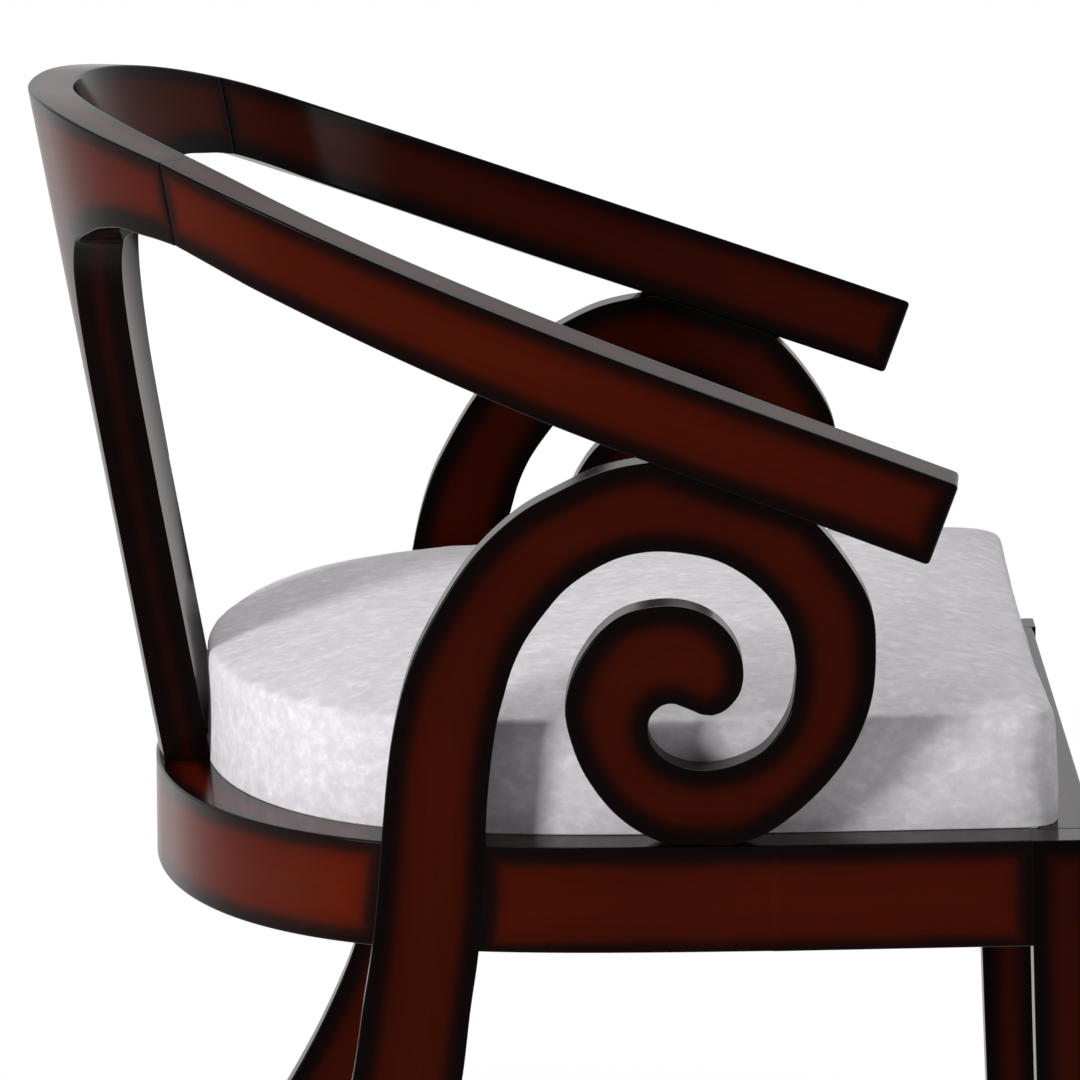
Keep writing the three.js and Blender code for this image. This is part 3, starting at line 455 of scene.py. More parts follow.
@dataclass
class Horseshoe:
    """The crest, the splat that grows out of it, and the arms that run on from it."""

    seat: SeatPlan
    crest_height: float = 785.0
    crest_back_y: float = 302.0
    inner_radius: float = 212.04
    thickness: float = 25.5
    depth: float = 44.0
    slope: float = 0.357
    level_run: float = 40.0
    ease_run: float = 190.0
    seam_angle: float = math.radians(49.4)
    lean: float = 0.18357
    joint_gap: float = 0.3
    splat_half: float = 53.0
    flare_rise: float = 181.0
    flare: Rows = (
        (0.004, 1), (0.024, 0.7), (0.055, 0.54), (0.094, 0.418), (0.134, 0.334), (0.181, 0.265),
        (0.24, 0.208), (0.299, 0.164), (0.365, 0.137), (0.433, 0.115), (0.543, 0.077),
        (0.654, 0.0475), (0.732, 0.03), (0.843, 0.018), (0.92, 0.008), (1, 0),
    )
    foot_points: int = 30
    side_points: int = 60
    flare_points: int = 240
    foot_fan: float = 0.4
    side_fan: float = 0.8
    flare_fan: float = 1.6
    samples: int = 4000
    plan_points: int = 2001
    tip: tuple[float, float] = (269.9, -206.8)
    start_handle: float = 120.0
    start_angle: float = math.radians(41.1)
    tip_handle: float = 149.5
    tip_angle: float = math.radians(4.65)
    arm_thickness: float = 24.2
    arm_depth: float = 45.4
    arm_sag: float = 0.7
    arm_cant: float = math.tan(math.radians(6.85))
    early_part: float = 6.0
    square_share: float = 0.6

    def __post_init__(self) -> None:
        """Works out what several pieces share."""
        self.outer_radius = self.inner_radius + self.thickness
        self.centre_y = self.crest_back_y - self.outer_radius
        self.seam_run = self.inner_radius * self.seam_angle
        sin, cos = math.sin(self.seam_angle), math.cos(self.seam_angle)
        self.seam_x = self.outer_radius * sin
        self.radial = np.array([sin, cos])
        start = (self.radial * self.inner_radius + [0, self.centre_y]
                 + np.array([cos, -sin]) * self.joint_gap)
        leaving = np.array([math.sin(self.start_angle), -math.cos(self.start_angle)])
        coming = np.array([-math.sin(self.tip_angle), math.cos(self.tip_angle)])
        tip = np.array(self.tip)
        self.handles = np.stack([
            start, start + self.start_handle * leaving, tip + self.tip_handle * coming, tip])
        self.fine = np.linspace(0, 1, self.plan_points)
        self.fine_run = run_along(self.plan(self.fine))
        self.arm_length = float(self.fine_run[-1])

    def slope_at(self, run: Array) -> Array:
        """Slope of the top edge at a run from the middle of the crest."""
        return self.slope * np.clip((run - self.level_run) / self.ease_run, 0, 1)

    def top(self, run: Array) -> Array:
        """Height of the top edge: level, then a parabola, then a straight fall."""
        eased = np.clip(run - self.level_run, 0, self.ease_run)
        straight = np.maximum(run - self.level_run - self.ease_run, 0)
        return self.crest_height - self.slope * (eased**2 / (2 * self.ease_run) + straight)

    def plan(self, t: Array) -> Array:
        """The arm's inner top edge in plan, a cubic Bezier curve."""
        t, p = t[..., None], self.handles
        return ((1 - t)**3 * p[0] + 3 * (1 - t)**2 * t * p[1] + 3 * (1 - t) * t**2 * p[2]
                + t**3 * p[3])

    def arm(self, s: Array, a: Array, b: Array) -> Array:
        """Places the arm: s runs from the seam to the tip, a down and b out."""
        run, step = s * self.arm_length, 1e-3
        t = np.interp(run, self.fine_run, self.fine)
        ahead = self.plan(np.clip(t + step, 0, 1)) - self.plan(np.clip(t - step, 0, 1))
        along = ahead / np.linalg.norm(ahead, axis=-1, keepdims=True)
        early = smoothstep(run / (self.arm_length / self.early_part))
        late = smoothstep(run / (self.arm_length * self.square_share))
        out = lerp(self.radial, np.stack([-along[..., 1], along[..., 0]], -1), early[..., None])
        out /= np.linalg.norm(out, axis=-1, keepdims=True)
        slope = self.slope_at(self.seam_run + run)
        thick = lerp(self.thickness, self.arm_thickness, late)
        depth = lerp(self.depth, self.arm_depth, early)
        fall = depth * np.hypot(1, slope)
        square = depth / np.hypot(1, slope)
        down = np.stack([
            lerp(0.0, -along[..., 0] * slope * square, late),
            lerp(-self.lean * fall, -along[..., 1] * slope * square, late),
            lerp(-fall, -square, late),
        ], -1)
        across = np.stack([out[..., 0], out[..., 1], -self.arm_cant * late], -1)
        top = self.top(self.seam_run + run) - self.arm_sag * np.sin(np.pi * s) ** 2
        start = np.concatenate([self.plan(t), top[..., None]], -1)
        return start + across * thick[..., None] * b[..., None] + down * a[..., None]

    def arm_under(self, x: Array, y: Array) -> Array:
        """Height of the arm's underside at each X and Y on the sitter's left."""
        s = np.linspace(0, 1, 600)[:, None]
        found = []
        for b in (0.0, 1.0):
            edge = self.arm(s, np.ones_like(s), np.full_like(s, b))[::-1, 0]
            found += [np.interp(y, edge[:, 1], edge[:, axis]) for axis in (0, 2)]
        x_in, z_in, x_out, z_out = found
        return lerp(z_in, z_out, (x - x_in) / (x_out - x_in))

    def column(self, x: Array) -> tuple[Array, Array]:
        """X on the inner face, and run of the top edge, for an X from the middle on the outer."""
        share = smoothstep((x - self.splat_half) / (self.seam_x - self.splat_half))
        inner_x = lerp(x, x * self.inner_radius / self.outer_radius, share)
        return inner_x, self.inner_radius * np.arcsin(inner_x / self.inner_radius)

    def panel(self, x: Array, z: Array, through: Array) -> Array:
        """A point of the bent crest panel, on columns ruled down the lean of the back.

        Args:
            x: X on the outer face.
            z: Height.
            through: Share of the thickness from the inner face to the outer.

        Returns:
            Points.
        """
        far = np.abs(x)
        inner_x, run = self.column(far)
        inner_y = np.sqrt(self.inner_radius**2 - inner_x**2)
        outer_y = np.sqrt(self.outer_radius**2 - far**2)
        y = self.centre_y + lerp(inner_y, outer_y, through) - self.lean * (self.top(run) - z)
        return np.stack([np.sign(x) * lerp(inner_x, far, through), y, z], -1)

    def outlines(self) -> tuple[Array, Array]:
        """Low and top outline of the right half of the panel, paired from middle to seam.

        The low one runs along the splat's foot, up its side and along the flare; the top one has
        as many points for each, fanned out to a share of the splat's half width.
        """
        half, at_foot, at_side = self.splat_half, self.foot_points, self.side_points
        number = np.linspace(0, len(self.flare) - 1, self.flare_points)
        curve = catmull(np.array(self.flare), number)
        x = half + (self.seam_x - half) * np.clip(curve[:, 0], 0, 1)
        _, run = self.column(x)
        fall = self.depth * np.hypot(1, self.slope_at(run))
        low_z = self.top(run) - fall - self.flare_rise * np.maximum(curve[:, 1], 0)
        drop = self.lean * (self.crest_height - self.seat.height)
        foot_y = self.centre_y + self.outer_radius - drop
        foot_z = float(self.seat.rail_top(foot_y)) + self.joint_gap
        foot = np.stack([np.linspace(0, half, at_foot), np.full(at_foot, foot_z)], -1)
        side = np.stack([np.full(at_side, half), np.linspace(foot_z, low_z[0], at_side)], -1)[1:]
        low = np.vstack([foot, side, np.stack([x, low_z], -1)])
        top_x = np.concatenate([
            np.linspace(0, self.foot_fan * half, at_foot),
            np.linspace(self.foot_fan * half, self.side_fan * half, at_side)[1:],
            lerp(self.side_fan * half, x, smoothstep(np.linspace(0, self.flare_fan, len(x)))),
        ])
        return low, np.stack([top_x, self.top(self.column(top_x)[1])], -1)

    def crest_place(self) -> Place:
        """Placing rule of the crest and splat: a runs up the panel and b out through it."""
        low, top = (np.vstack([(half * [-1.0, 1.0])[:0:-1], half]) for half in self.outlines())
        even = resampled(low, self.samples)

        def place(s: Array, a: Array, b: Array) -> Array:
            at, = columns(s, even[:, None])
            (low_x, low_z), (top_x, top_z) = columns(at, low), columns(at, top)
            return self.panel(lerp(low_x, top_x, a), lerp(low_z, top_z, a), b)

        return place


@dataclass
class ScrollBoard:
    """The flat-sawn board that is volute, stem and sabre leg in one.

    The outer and inner rows are shares of the reach in front of the stem's back and of the rise
    from the rail to the arm, and the inner numbers pair the outer rows with the inner ones. The
    leg's rows are shares of the height, the rake and the width. Counted up from the foot, the
    stem's points pass the rails, and the scroll begins above it.
    """

    seat: SeatPlan
    shoe: Horseshoe
    thickness: float = 22.0
    splay: float = 0.0787
    stem_back_y: float = 99.4
    stem_width: float = 55.806
    reach: float = 262.0
    contact_y: float = -48.0
    tuck: float = 0.6
    joint_gap: float = 0.3
    foot_height: float = 3.3
    rake: float = 165.0
    leg_width: float = 59.99
    outer: Rows = (
        (0.002, 0.0375), (0.0195, 0.2571), (0.051, 0.4373), (0.0947, 0.5689), (0.176, 0.737),
        (0.2695, 0.8556), (0.363, 0.9252), (0.456, 0.9763), (0.5635, 0.9986), (0.665, 0.9932),
        (0.777, 0.9416), (0.8765, 0.8397), (0.9513, 0.7195), (0.992, 0.618), (1.001, 0.5072),
        (0.9935, 0.3826), (0.961, 0.2667), (0.908, 0.168), (0.835, 0.0779), (0.761, 0.0192),
        (0.67, -0.0061), (0.593, 0.003), (0.532, 0.0324), (0.471, 0.0911), (0.417, 0.1822),
        (0.387, 0.2723), (0.3745, 0.3533), (0.3835, 0.4252), (0.4035, 0.4879), (0.4438, 0.5588),
        (0.497, 0.6074), (0.571, 0.6266), (0.638, 0.6155), (0.691, 0.575), (0.7255, 0.5117),
        (0.735, 0.4479), (0.726, 0.3948), (0.699, 0.3553), (0.672, 0.3411),
    )
    inner: Rows = (
        (0.2135, 0.0375), (0.221, 0.1761), (0.2348, 0.3098), (0.252, 0.3988), (0.269, 0.4707),
        (0.2957, 0.5416), (0.336, 0.6135), (0.376, 0.6712), (0.43, 0.7197), (0.49, 0.7542),
        (0.557, 0.7673), (0.6235, 0.7602), (0.684, 0.741), (0.7445, 0.6965), (0.791, 0.6388),
        (0.825, 0.5679), (0.839, 0.4869), (0.839, 0.4242), (0.8297, 0.3533), (0.8065, 0.2956),
        (0.773, 0.246), (0.7265, 0.2156), (0.679, 0.2004), (0.632, 0.2004), (0.585, 0.2207),
        (0.5545, 0.2571), (0.543, 0.3017), (0.5477, 0.3381), (0.5675, 0.3649), (0.5915, 0.3725),
        (0.618, 0.3614), (0.648, 0.3452),
    )
    inner_number: tuple[float, ...] = (
        0, 1.6, 2.6, 3.6, 5.5, 7.1, 8.2, 9.3, 10.4, 11.2, 12.1, 13.2, 14.4, 15.3, 16.1, 17.1, 18.0,
        19.1, 20.4, 21.4, 22.2, 22.9, 23.5, 24.2, 25.3, 26.5, 27.4, 28.0, 28.4, 28.8, 29.2, 29.6,
        30.0, 30.3, 30.5, 30.68, 30.8, 30.9, 31.0,
    )
    leg: Rows = (
        (0.93, 0.014, 0.945), (0.85, 0.035, 0.95), (0.78, 0.062, 0.955), (0.667, 0.104, 0.965),
        (0.538, 0.184, 0.955), (0.43, 0.294, 0.915), (0.3325, 0.42, 0.865), (0.22, 0.59, 0.79),
        (0.11, 0.786, 0.7), (0, 1, 0.63),
    )
    stem_points: tuple[int, int] = (5, 13)
    scroll_point: int = 14
    samples: int = 6000

    def __post_init__(self) -> None:
        """Works out both edges of the board, from the foot up to the tip of the volute."""
        self.flush_y = self.stem_back_y - self.stem_width
        self.flush_x = float(self.seat.side_x(np.array(self.flush_y)))
        self.across = self.thickness * math.hypot(1, self.splay)
        contact = np.array(self.contact_y)
        under = self.shoe.arm_under(self.outer_x(contact) - self.across / 2, contact)
        rise = float(under) - float(self.seat.rail_top(self.contact_y))

        def scroll(rows: Rows) -> Array:
            share = np.array(rows)
            y = self.stem_back_y - share[:, 0] * self.reach
            return np.stack([y, self.seat.rail_top(y) + share[:, 1] * rise], -1)

        rows, step = np.array(self.leg), 1e-3
        top = float(self.seat.rail_top(self.stem_back_y))
        back = np.stack([self.stem_back_y + rows[:, 1] * self.rake,
                         self.foot_height + rows[:, 0] * (top - self.foot_height)], -1)
        number, last = np.arange(len(back), dtype=float), len(back) - 1
        ahead = (catmull(back, np.clip(number + step, 0, last))
                 - catmull(back, np.clip(number - step, 0, last)))
        upright = np.abs(ahead[:, 1]) / np.linalg.norm(ahead, axis=1)
        front = np.stack([back[:, 0] - rows[:, 2] * self.leg_width / upright, back[:, 1]], -1)
        self.back_points = np.vstack([back[::-1], scroll(self.outer)])
        self.front_points = np.vstack([front[::-1], scroll(self.inner)])
        self.pairing = np.concatenate([number, len(back) + np.array(self.inner_number)])

    def outer_x(self, y: Array) -> Array:
        """X of the board's outer face at each Y."""
        return self.flush_x + self.splay * (self.flush_y - y)

    def stem_edge(self, z: Array, front: bool) -> Array:
        """Y of the stem's front or back edge at heights beside the rails."""
        points = self.front_points if front else self.back_points
        curve = catmull(points, np.linspace(*self.stem_points, 200))
        order = np.argsort(curve[:, 1])
        return np.interp(z, curve[order, 1], curve[order, 0])

    def place(self) -> Place:
        """Placing rule: a runs from the scroll's outer edge to its inner edge, b out of the board.

        The scroll is cut off at the arm's underside, which cants its top, and at the rail.
        """
        numbers = np.linspace(0, len(self.back_points) - 1, self.samples)
        outer = catmull(self.back_points, numbers)
        paired = np.interp(numbers, np.arange(len(self.pairing)), self.pairing)
        inner = catmull(self.front_points, paired)
        middle = self.outer_x(outer[:, 0]) - self.across / 2
        under = self.shoe.arm_under(middle, outer[:, 0])
        ceiling = under + self.tuck
        in_scroll = numbers > self.scroll_point
        held_up = in_scroll & (outer[:, 1] > ceiling)
        outer[:, 1] = np.where(held_up, ceiling, outer[:, 1])
        floor = self.seat.rail_top(outer[:, 0]) + self.joint_gap
        outer[:, 1] = np.where(in_scroll, np.maximum(outer[:, 1], floor), outer[:, 1])
        even = resampled(outer, self.samples)
        blur = 41
        canted = np.convolve(held_up.astype(float), np.ones(blur) / blur, mode="same")
        canted *= (self.shoe.arm_under(middle + 1.0, outer[:, 0]) - under) * self.across

        def place(s: Array, a: Array, b: Array) -> Array:
            at, = columns(s, even[:, None])
            (outer_y, outer_z), (inner_y, inner_z) = columns(at, outer), columns(at, inner)
            cant, = columns(at, canted[:, None])
            y = lerp(outer_y, inner_y, a)
            z = lerp(outer_z, inner_z, a) + cant * (b - 0.5) * np.clip(1 - 3 * a, 0, 1)
            return np.stack([self.outer_x(y) - self.across * (1 - b), y, z], -1)

        return place


@dataclass
class SeatFrame:
    """Rails and front legs."""

    seat: SeatPlan
    board: ScrollBoard
    leg_width: float = 25.5
    leg_depth: float = 37.5
    foot_width: float = 22.0
    foot_depth: float = 27.0
    proud: float = 0.6
    recess: float = 2.0
    leg_rake: float = 8.0
    bend: float = 1.6
    joint_gap: float = 0.3
    tuck: float = 1.5
    stem_fall: float = 0.6

    def leg_front(self, share: Array) -> Array:
        """Y of the front leg's front face at a share of its height."""
        return self.seat.front_y - self.recess - self.leg_rake * (1 - share)**self.bend

    def leg_back(self, z: Array) -> Array:
        """Y of the front leg's back face beside the rails."""
        share = (z - self.board.foot_height) / (self.seat.height - self.board.foot_height)
        return self.leg_front(share) + lerp(self.foot_depth, self.leg_depth, share)

    def front_leg(self, s: Array, a: Array, b: Array) -> Array:
        """Places the front leg: s runs up it, a back through it and b out across it."""
        width = lerp(self.foot_width, self.leg_width, s)
        outer = self.seat.half_width + self.proud - (self.leg_width - width) / 2
        y = self.leg_front(s) + lerp(self.foot_depth, self.leg_depth, s) * a
        z = lerp(self.board.foot_height, self.seat.rail_top(y), s)
        return np.stack([outer - width * (1 - b), y, z], -1)

    def side_rail(self, s: Array, a: Array, b: Array) -> Array:
        """Places the side rail: s runs from the front leg to the stem, a down and b out.

        Where it is thicker than the leg it runs on beside it, up to the front rail.
        """
        seat = self.seat
        z_mid = seat.height - a * seat.rail_height
        beside = (seat.rail_thickness + self.proud - self.leg_width) / seat.rail_thickness
        corner = seat.front_y + seat.rail_thickness + self.joint_gap
        start = np.where(b < beside, corner, self.leg_back(z_mid) - self.tuck)
        end = self.board.stem_edge(z_mid - seat.fall * self.stem_fall, front=True) + self.tuck
        y = lerp(start, end, s)
        inner, outer = seat.side_x(y, seat.rail_thickness), seat.side_x(y)
        z = seat.rail_top(y) - a * seat.rail_height
        return np.stack([lerp(inner, outer, b), y, z], -1)

    def back_rail_place(self) -> Place:
        """Placing rule of the back rail: s runs from left to right, a down and b out."""
        seat = self.seat
        insets = (seat.rail_thickness, 0.0)

        def start(inset: float, a: float) -> float:
            z = float(seat.rail_top(self.board.stem_back_y)) - a * seat.rail_height
            y = float(self.board.stem_edge(np.array(z), front=False)) - self.tuck
            return seat.turn_at(y, inset)

        turns = [(start(inset, 0.0), start(inset, 1.0)) for inset in insets]

        def place(s: Array, a: Array, b: Array) -> Array:
            firsts = (lerp(top, low, a) for top, low in turns)
            inner, outer = (seat.outline(lerp(first, np.pi - first, s), inset)
                            for first, inset in zip(firsts, insets))
            plan = lerp(inner, outer, b[..., None])
            z = seat.rail_top(plan[..., 1]) - a * seat.rail_height
            return np.concatenate([plan, z[..., None]], -1)

        return place

    def front_rail(self, s: Array, a: Array, b: Array) -> Array:
        """Places the front rail: s runs across, a down and b out to the front."""
        seat = self.seat
        half = seat.half_width + self.proud - self.leg_width - self.joint_gap
        y = seat.front_y + seat.rail_thickness * (1 - b)
        return np.stack([lerp(half, -half, s), y, seat.rail_top(y) - a * seat.rail_height], -1)


class Nodes:
    """Short ways to lay out the nodes of a material or a world."""

    def __init__(self, owner: bpy.types.Material | bpy.types.World) -> None:
        """Empties the owner's node tree."""
        owner.use_nodes = True
        self.owner = owner
        self.tree = owner.node_tree
        self.tree.nodes.clear()

    def add(self, kind: str, inputs: dict[str | int, object] | None = None, **values: object
            ) -> bpy.types.Node:
        """Adds a node.

        Args:
            kind: Its type.
            inputs: What its inputs get, by name or number: a socket to link, or a value.
            values: Its properties.

        Returns:
            The node.
        """
        node = self.tree.nodes.new(kind)
        for key, value in values.items():
            setattr(node, key, value)
        for key, value in (inputs or {}).items():
            if isinstance(value, Socket):
                self.tree.links.new(value, node.inputs[key])
            else:
                node.inputs[key].default_value = value
        return node

    def mapping(self, source: str, scale: Triple) -> Socket:
        """Object coordinates, moved by the noise shift, or a UV map, scaled.

        Args:
            source: "Object", or the name of a UV map.
            scale: Scale along each axis.

        Returns:
            The vector.
        """
        inputs = {"Scale": scale}
        if source == "Object":
            inputs["Vector"] = self.add("ShaderNodeTexCoord").outputs["Object"]
            inputs["Location"] = tuple(np.array(scale) * NOISE_SHIFT)
        else:
            inputs["Vector"] = self.add("ShaderNodeUVMap", uv_map=source).outputs["UV"]
        return self.add("ShaderNodeMapping", inputs).outputs["Vector"]

    def noise(self, vector: Socket, scale: float, detail: float = 3.0, roughness: float = 0.5,
              distortion: float = 0.0) -> Socket:
        """Noise read at a vector, with so many octaves, so rough and so far warped."""
        inputs = {"Vector": vector, "Scale": scale, "Detail": detail, "Roughness": roughness,
                  "Distortion": distortion}
        return self.add("ShaderNodeTexNoise", inputs).outputs["Fac"]

    def math(self, operation: str, *values: object) -> Socket:
        """A sum on numbers or sockets."""
        node = self.add("ShaderNodeMath", dict(enumerate(values)), operation=operation)
        return node.outputs["Value"]

    def ramp(self, value: Socket, stops: Stops) -> Socket:
        """The colour that a value picks between stops of positions and colours or greys."""
        node = self.add("ShaderNodeValToRGB", {"Fac": value})
        elements = node.color_ramp.elements
        while len(elements) < len(stops):
            elements.new(0.5)
        for element, (position, colour) in zip(elements, stops):
            element.position = position
            element.color = (*colour * (3 if len(colour) == 1 else 1), 1.0)
        return node.outputs["Color"]

    def product(self, first: Socket, *others: Socket) -> Socket:
        """Product of colours."""
        for other in others:
            inputs = {"Factor": 1.0, "A": first, "B": other}
            node = self.add("ShaderNodeMix", inputs, data_type="RGBA", blend_type="MULTIPLY")
            first = node.outputs["Result"]
        return first

    def bump(self, height: Socket, strength: float, distance: float) -> Socket:
        """A bumped normal."""
        inputs = {"Strength": strength, "Distance": distance, "Height": height}
        return self.add("ShaderNodeBump", inputs).outputs["Normal"]

    def surface(self, inputs: dict[str, object]) -> bpy.types.Material:
        """Links a main shader with these inputs to the output and gives the material."""
        shader = self.add("ShaderNodeBsdfPrincipled", inputs)
        self.add("ShaderNodeOutputMaterial", {"Surface": shader.outputs["BSDF"]})
        return self.owner

    def seen(self) -> Socket:
        """One where a ray comes from the camera, a reflection or a see-through surface."""
        path = self.add("ShaderNodeLightPath").outputs
        both = self.math("MAXIMUM", path["Is Camera Ray"], path["Is Glossy Ray"])
        return self.math("MAXIMUM", both, path["Is Transmission Ray"])

    def blend(self, output: str, share: Socket, first: bpy.types.Node, second: bpy.types.Node
              ) -> None:
        """Links two shaders, mixed by a share, to an output of the given type."""
        inputs = {"Fac": share, 1: first.outputs[0], 2: second.outputs[0]}
        mix = self.add("ShaderNodeMixShader", inputs)
        self.add(output, {"Surface": mix.outputs["Shader"]})


@dataclass(frozen=True)
class Lacquer:
    """Gloss lacquer over mahogany: red-brown fields shaded to black along every edge.

    The fade gives the share of the field's colour at each distance from an edge, and the gloss
    the strength of the reflection from face on to grazing.
    """

    name: str = "lacquer"
    black: Triple = (0.0035, 0.0012, 0.0011)
    field: Triple = (0.041, 0.0033, 0.0004)
    glow: Triple = (0.048, 0.0048, 0.0006)
    fade: Rows = (
        (4.2, 0.0), (7.3, 0.12), (9.0, 0.3), (10.6, 0.52), (12.2, 0.75), (14.0, 0.9), (17.5, 1.0),
    )
    waver: float = 2.6
    reach: float = 40.0
    roughness: float = 0.13
    ior: float = 1.22
    gloss: Rows = (
        (0.0, 0.08), (0.15, 0.1), (0.27, 0.26), (0.5, 0.26), (0.62, 0.36), (0.72, 0.48),
        (0.77, 0.42), (0.82, 0.2), (0.87, 0.07), (0.93, 0.02), (1.0, 0.014),
    )

    def material(self) -> bpy.types.Material:
        """Builds the material: edge distance, wavered by noise, picks the colour."""
        build = Nodes(bpy.data.materials.new(self.name))
        edge = build.add("ShaderNodeAttribute", attribute_name="edge").outputs["Fac"]
        tone = build.add("ShaderNodeAttribute", attribute_name="tone").outputs["Color"]
        facing = build.add("ShaderNodeLayerWeight", {"Blend": 0.5}).outputs["Facing"]
        place = build.mapping("Object", (1.0, 1.0, 1.0))
        grain = build.mapping("grain", (5.0, 150.0, 1.0))
        mottle = build.noise(place, 9.0, detail=4.0, roughness=0.55)
        moved = build.math("MULTIPLY_ADD", build.noise(place, 26.0), self.waver, edge)
        moved = build.math("SUBTRACT", moved, self.waver / 2)
        moved = build.math("DIVIDE", moved, self.reach)
        black, lit = np.array(self.black), np.array(self.field)
        stops = [(far / self.reach, tuple(lerp(black, lit, share))) for far, share in self.fade]
        colour = build.product(
            build.ramp(moved, stops + [(1.0, self.glow)]),
            build.ramp(build.noise(grain, 2.2, detail=5.0, roughness=0.6),
                       [(0.3, (0.9, 0.88, 0.86)), (0.7, (1.06, 1.08, 1.1))]),
            build.ramp(mottle, [(0.3, (0.86, 0.82, 0.8)), (0.7, (1.14, 1.2, 1.25))]),
            tone)
        rough = [(0.3, (self.roughness * 0.85,)), (0.7, (self.roughness * 1.2,))]
        return build.surface({
            "Base Color": colour, "Roughness": build.ramp(mottle, rough), "IOR": self.ior,
            "Specular IOR Level": build.ramp(facing, [(at, (level,)) for at, level in self.gloss]),
            "Normal": build.bump(build.noise(grain, 5.0, roughness=0.6), 0.012, 0.0004),
        })


@dataclass(frozen=True)
class Velvet:
    """Crushed velvet: a silver white pile pressed into patches that catch the light.

    The noises are the crushed patches, clouds and flecks, each with its stretch, scale, roughness
    and distortion.
    """

    name: str = "velvet"
    low: Triple = (0.615, 0.59, 0.625)
    middle: Triple = (0.66, 0.64, 0.672)
    high: Triple = (0.735, 0.725, 0.757)
    noises: tuple[tuple[Triple, float, float, float], ...] = (
        ((1.0, 0.8, 1.1), 118.0, 0.56, 0.35),
        ((1.0, 0.8, 1.0), 19.0, 0.5, 0.6),
        ((1.0, 0.7, 1.0), 250.0, 0.6, 0.3),
    )

    def material(self) -> bpy.types.Material:
        """Builds the material: warped noise in three sizes picks the colour and the pile's lie."""
        build = Nodes(bpy.data.materials.new(self.name))
        crush, cloud, pile = (
            build.noise(build.mapping("Object", stretch), scale, roughness=rough, distortion=warp)
            for stretch, scale, rough, warp in self.noises)
        colour = build.product(
            build.ramp(crush, [(0.34, self.low), (0.52, self.middle), (0.68, self.high)]),
            build.ramp(cloud, [(0.3, (0.96, 0.955, 0.96)), (0.7, (1.03,))]),
            build.ramp(pile, [(0.3, (0.955,)), (0.54, (1.0,)), (0.7, (1.11,))]))
        return build.surface({
            "Base Color": colour, "Roughness": 0.85, "Specular IOR Level": 0.25,
            "Sheen Weight": 0.18, "Sheen Roughness": 0.45,
            "Normal": build.bump(crush, 0.24, 0.001),
        })


@dataclass(frozen=True)
class Plain:
    """A plain finish with faint clouds in one colour."""

    name: str
    colour: Triple
    roughness: float
    metallic: float = 0.0
    stretch: Triple = (1.0, 1.0, 1.0)
    scale: float = 60.0

    def material(self) -> bpy.types.Material:
        """Builds the material: noise moves the colour a little both ways."""
        build = Nodes(bpy.data.materials.new(self.name))
        noise = build.noise(build.mapping("Object", self.stretch), self.scale)
        colour = np.array(self.colour)
        stops = [(0.3, tuple(colour * 0.85)), (0.7, tuple(np.minimum(colour * 1.12, 1)))]
        return build.surface({
            "Base Color": build.ramp(noise, stops), "Roughness": self.roughness,
            "Metallic": self.metallic,
        })


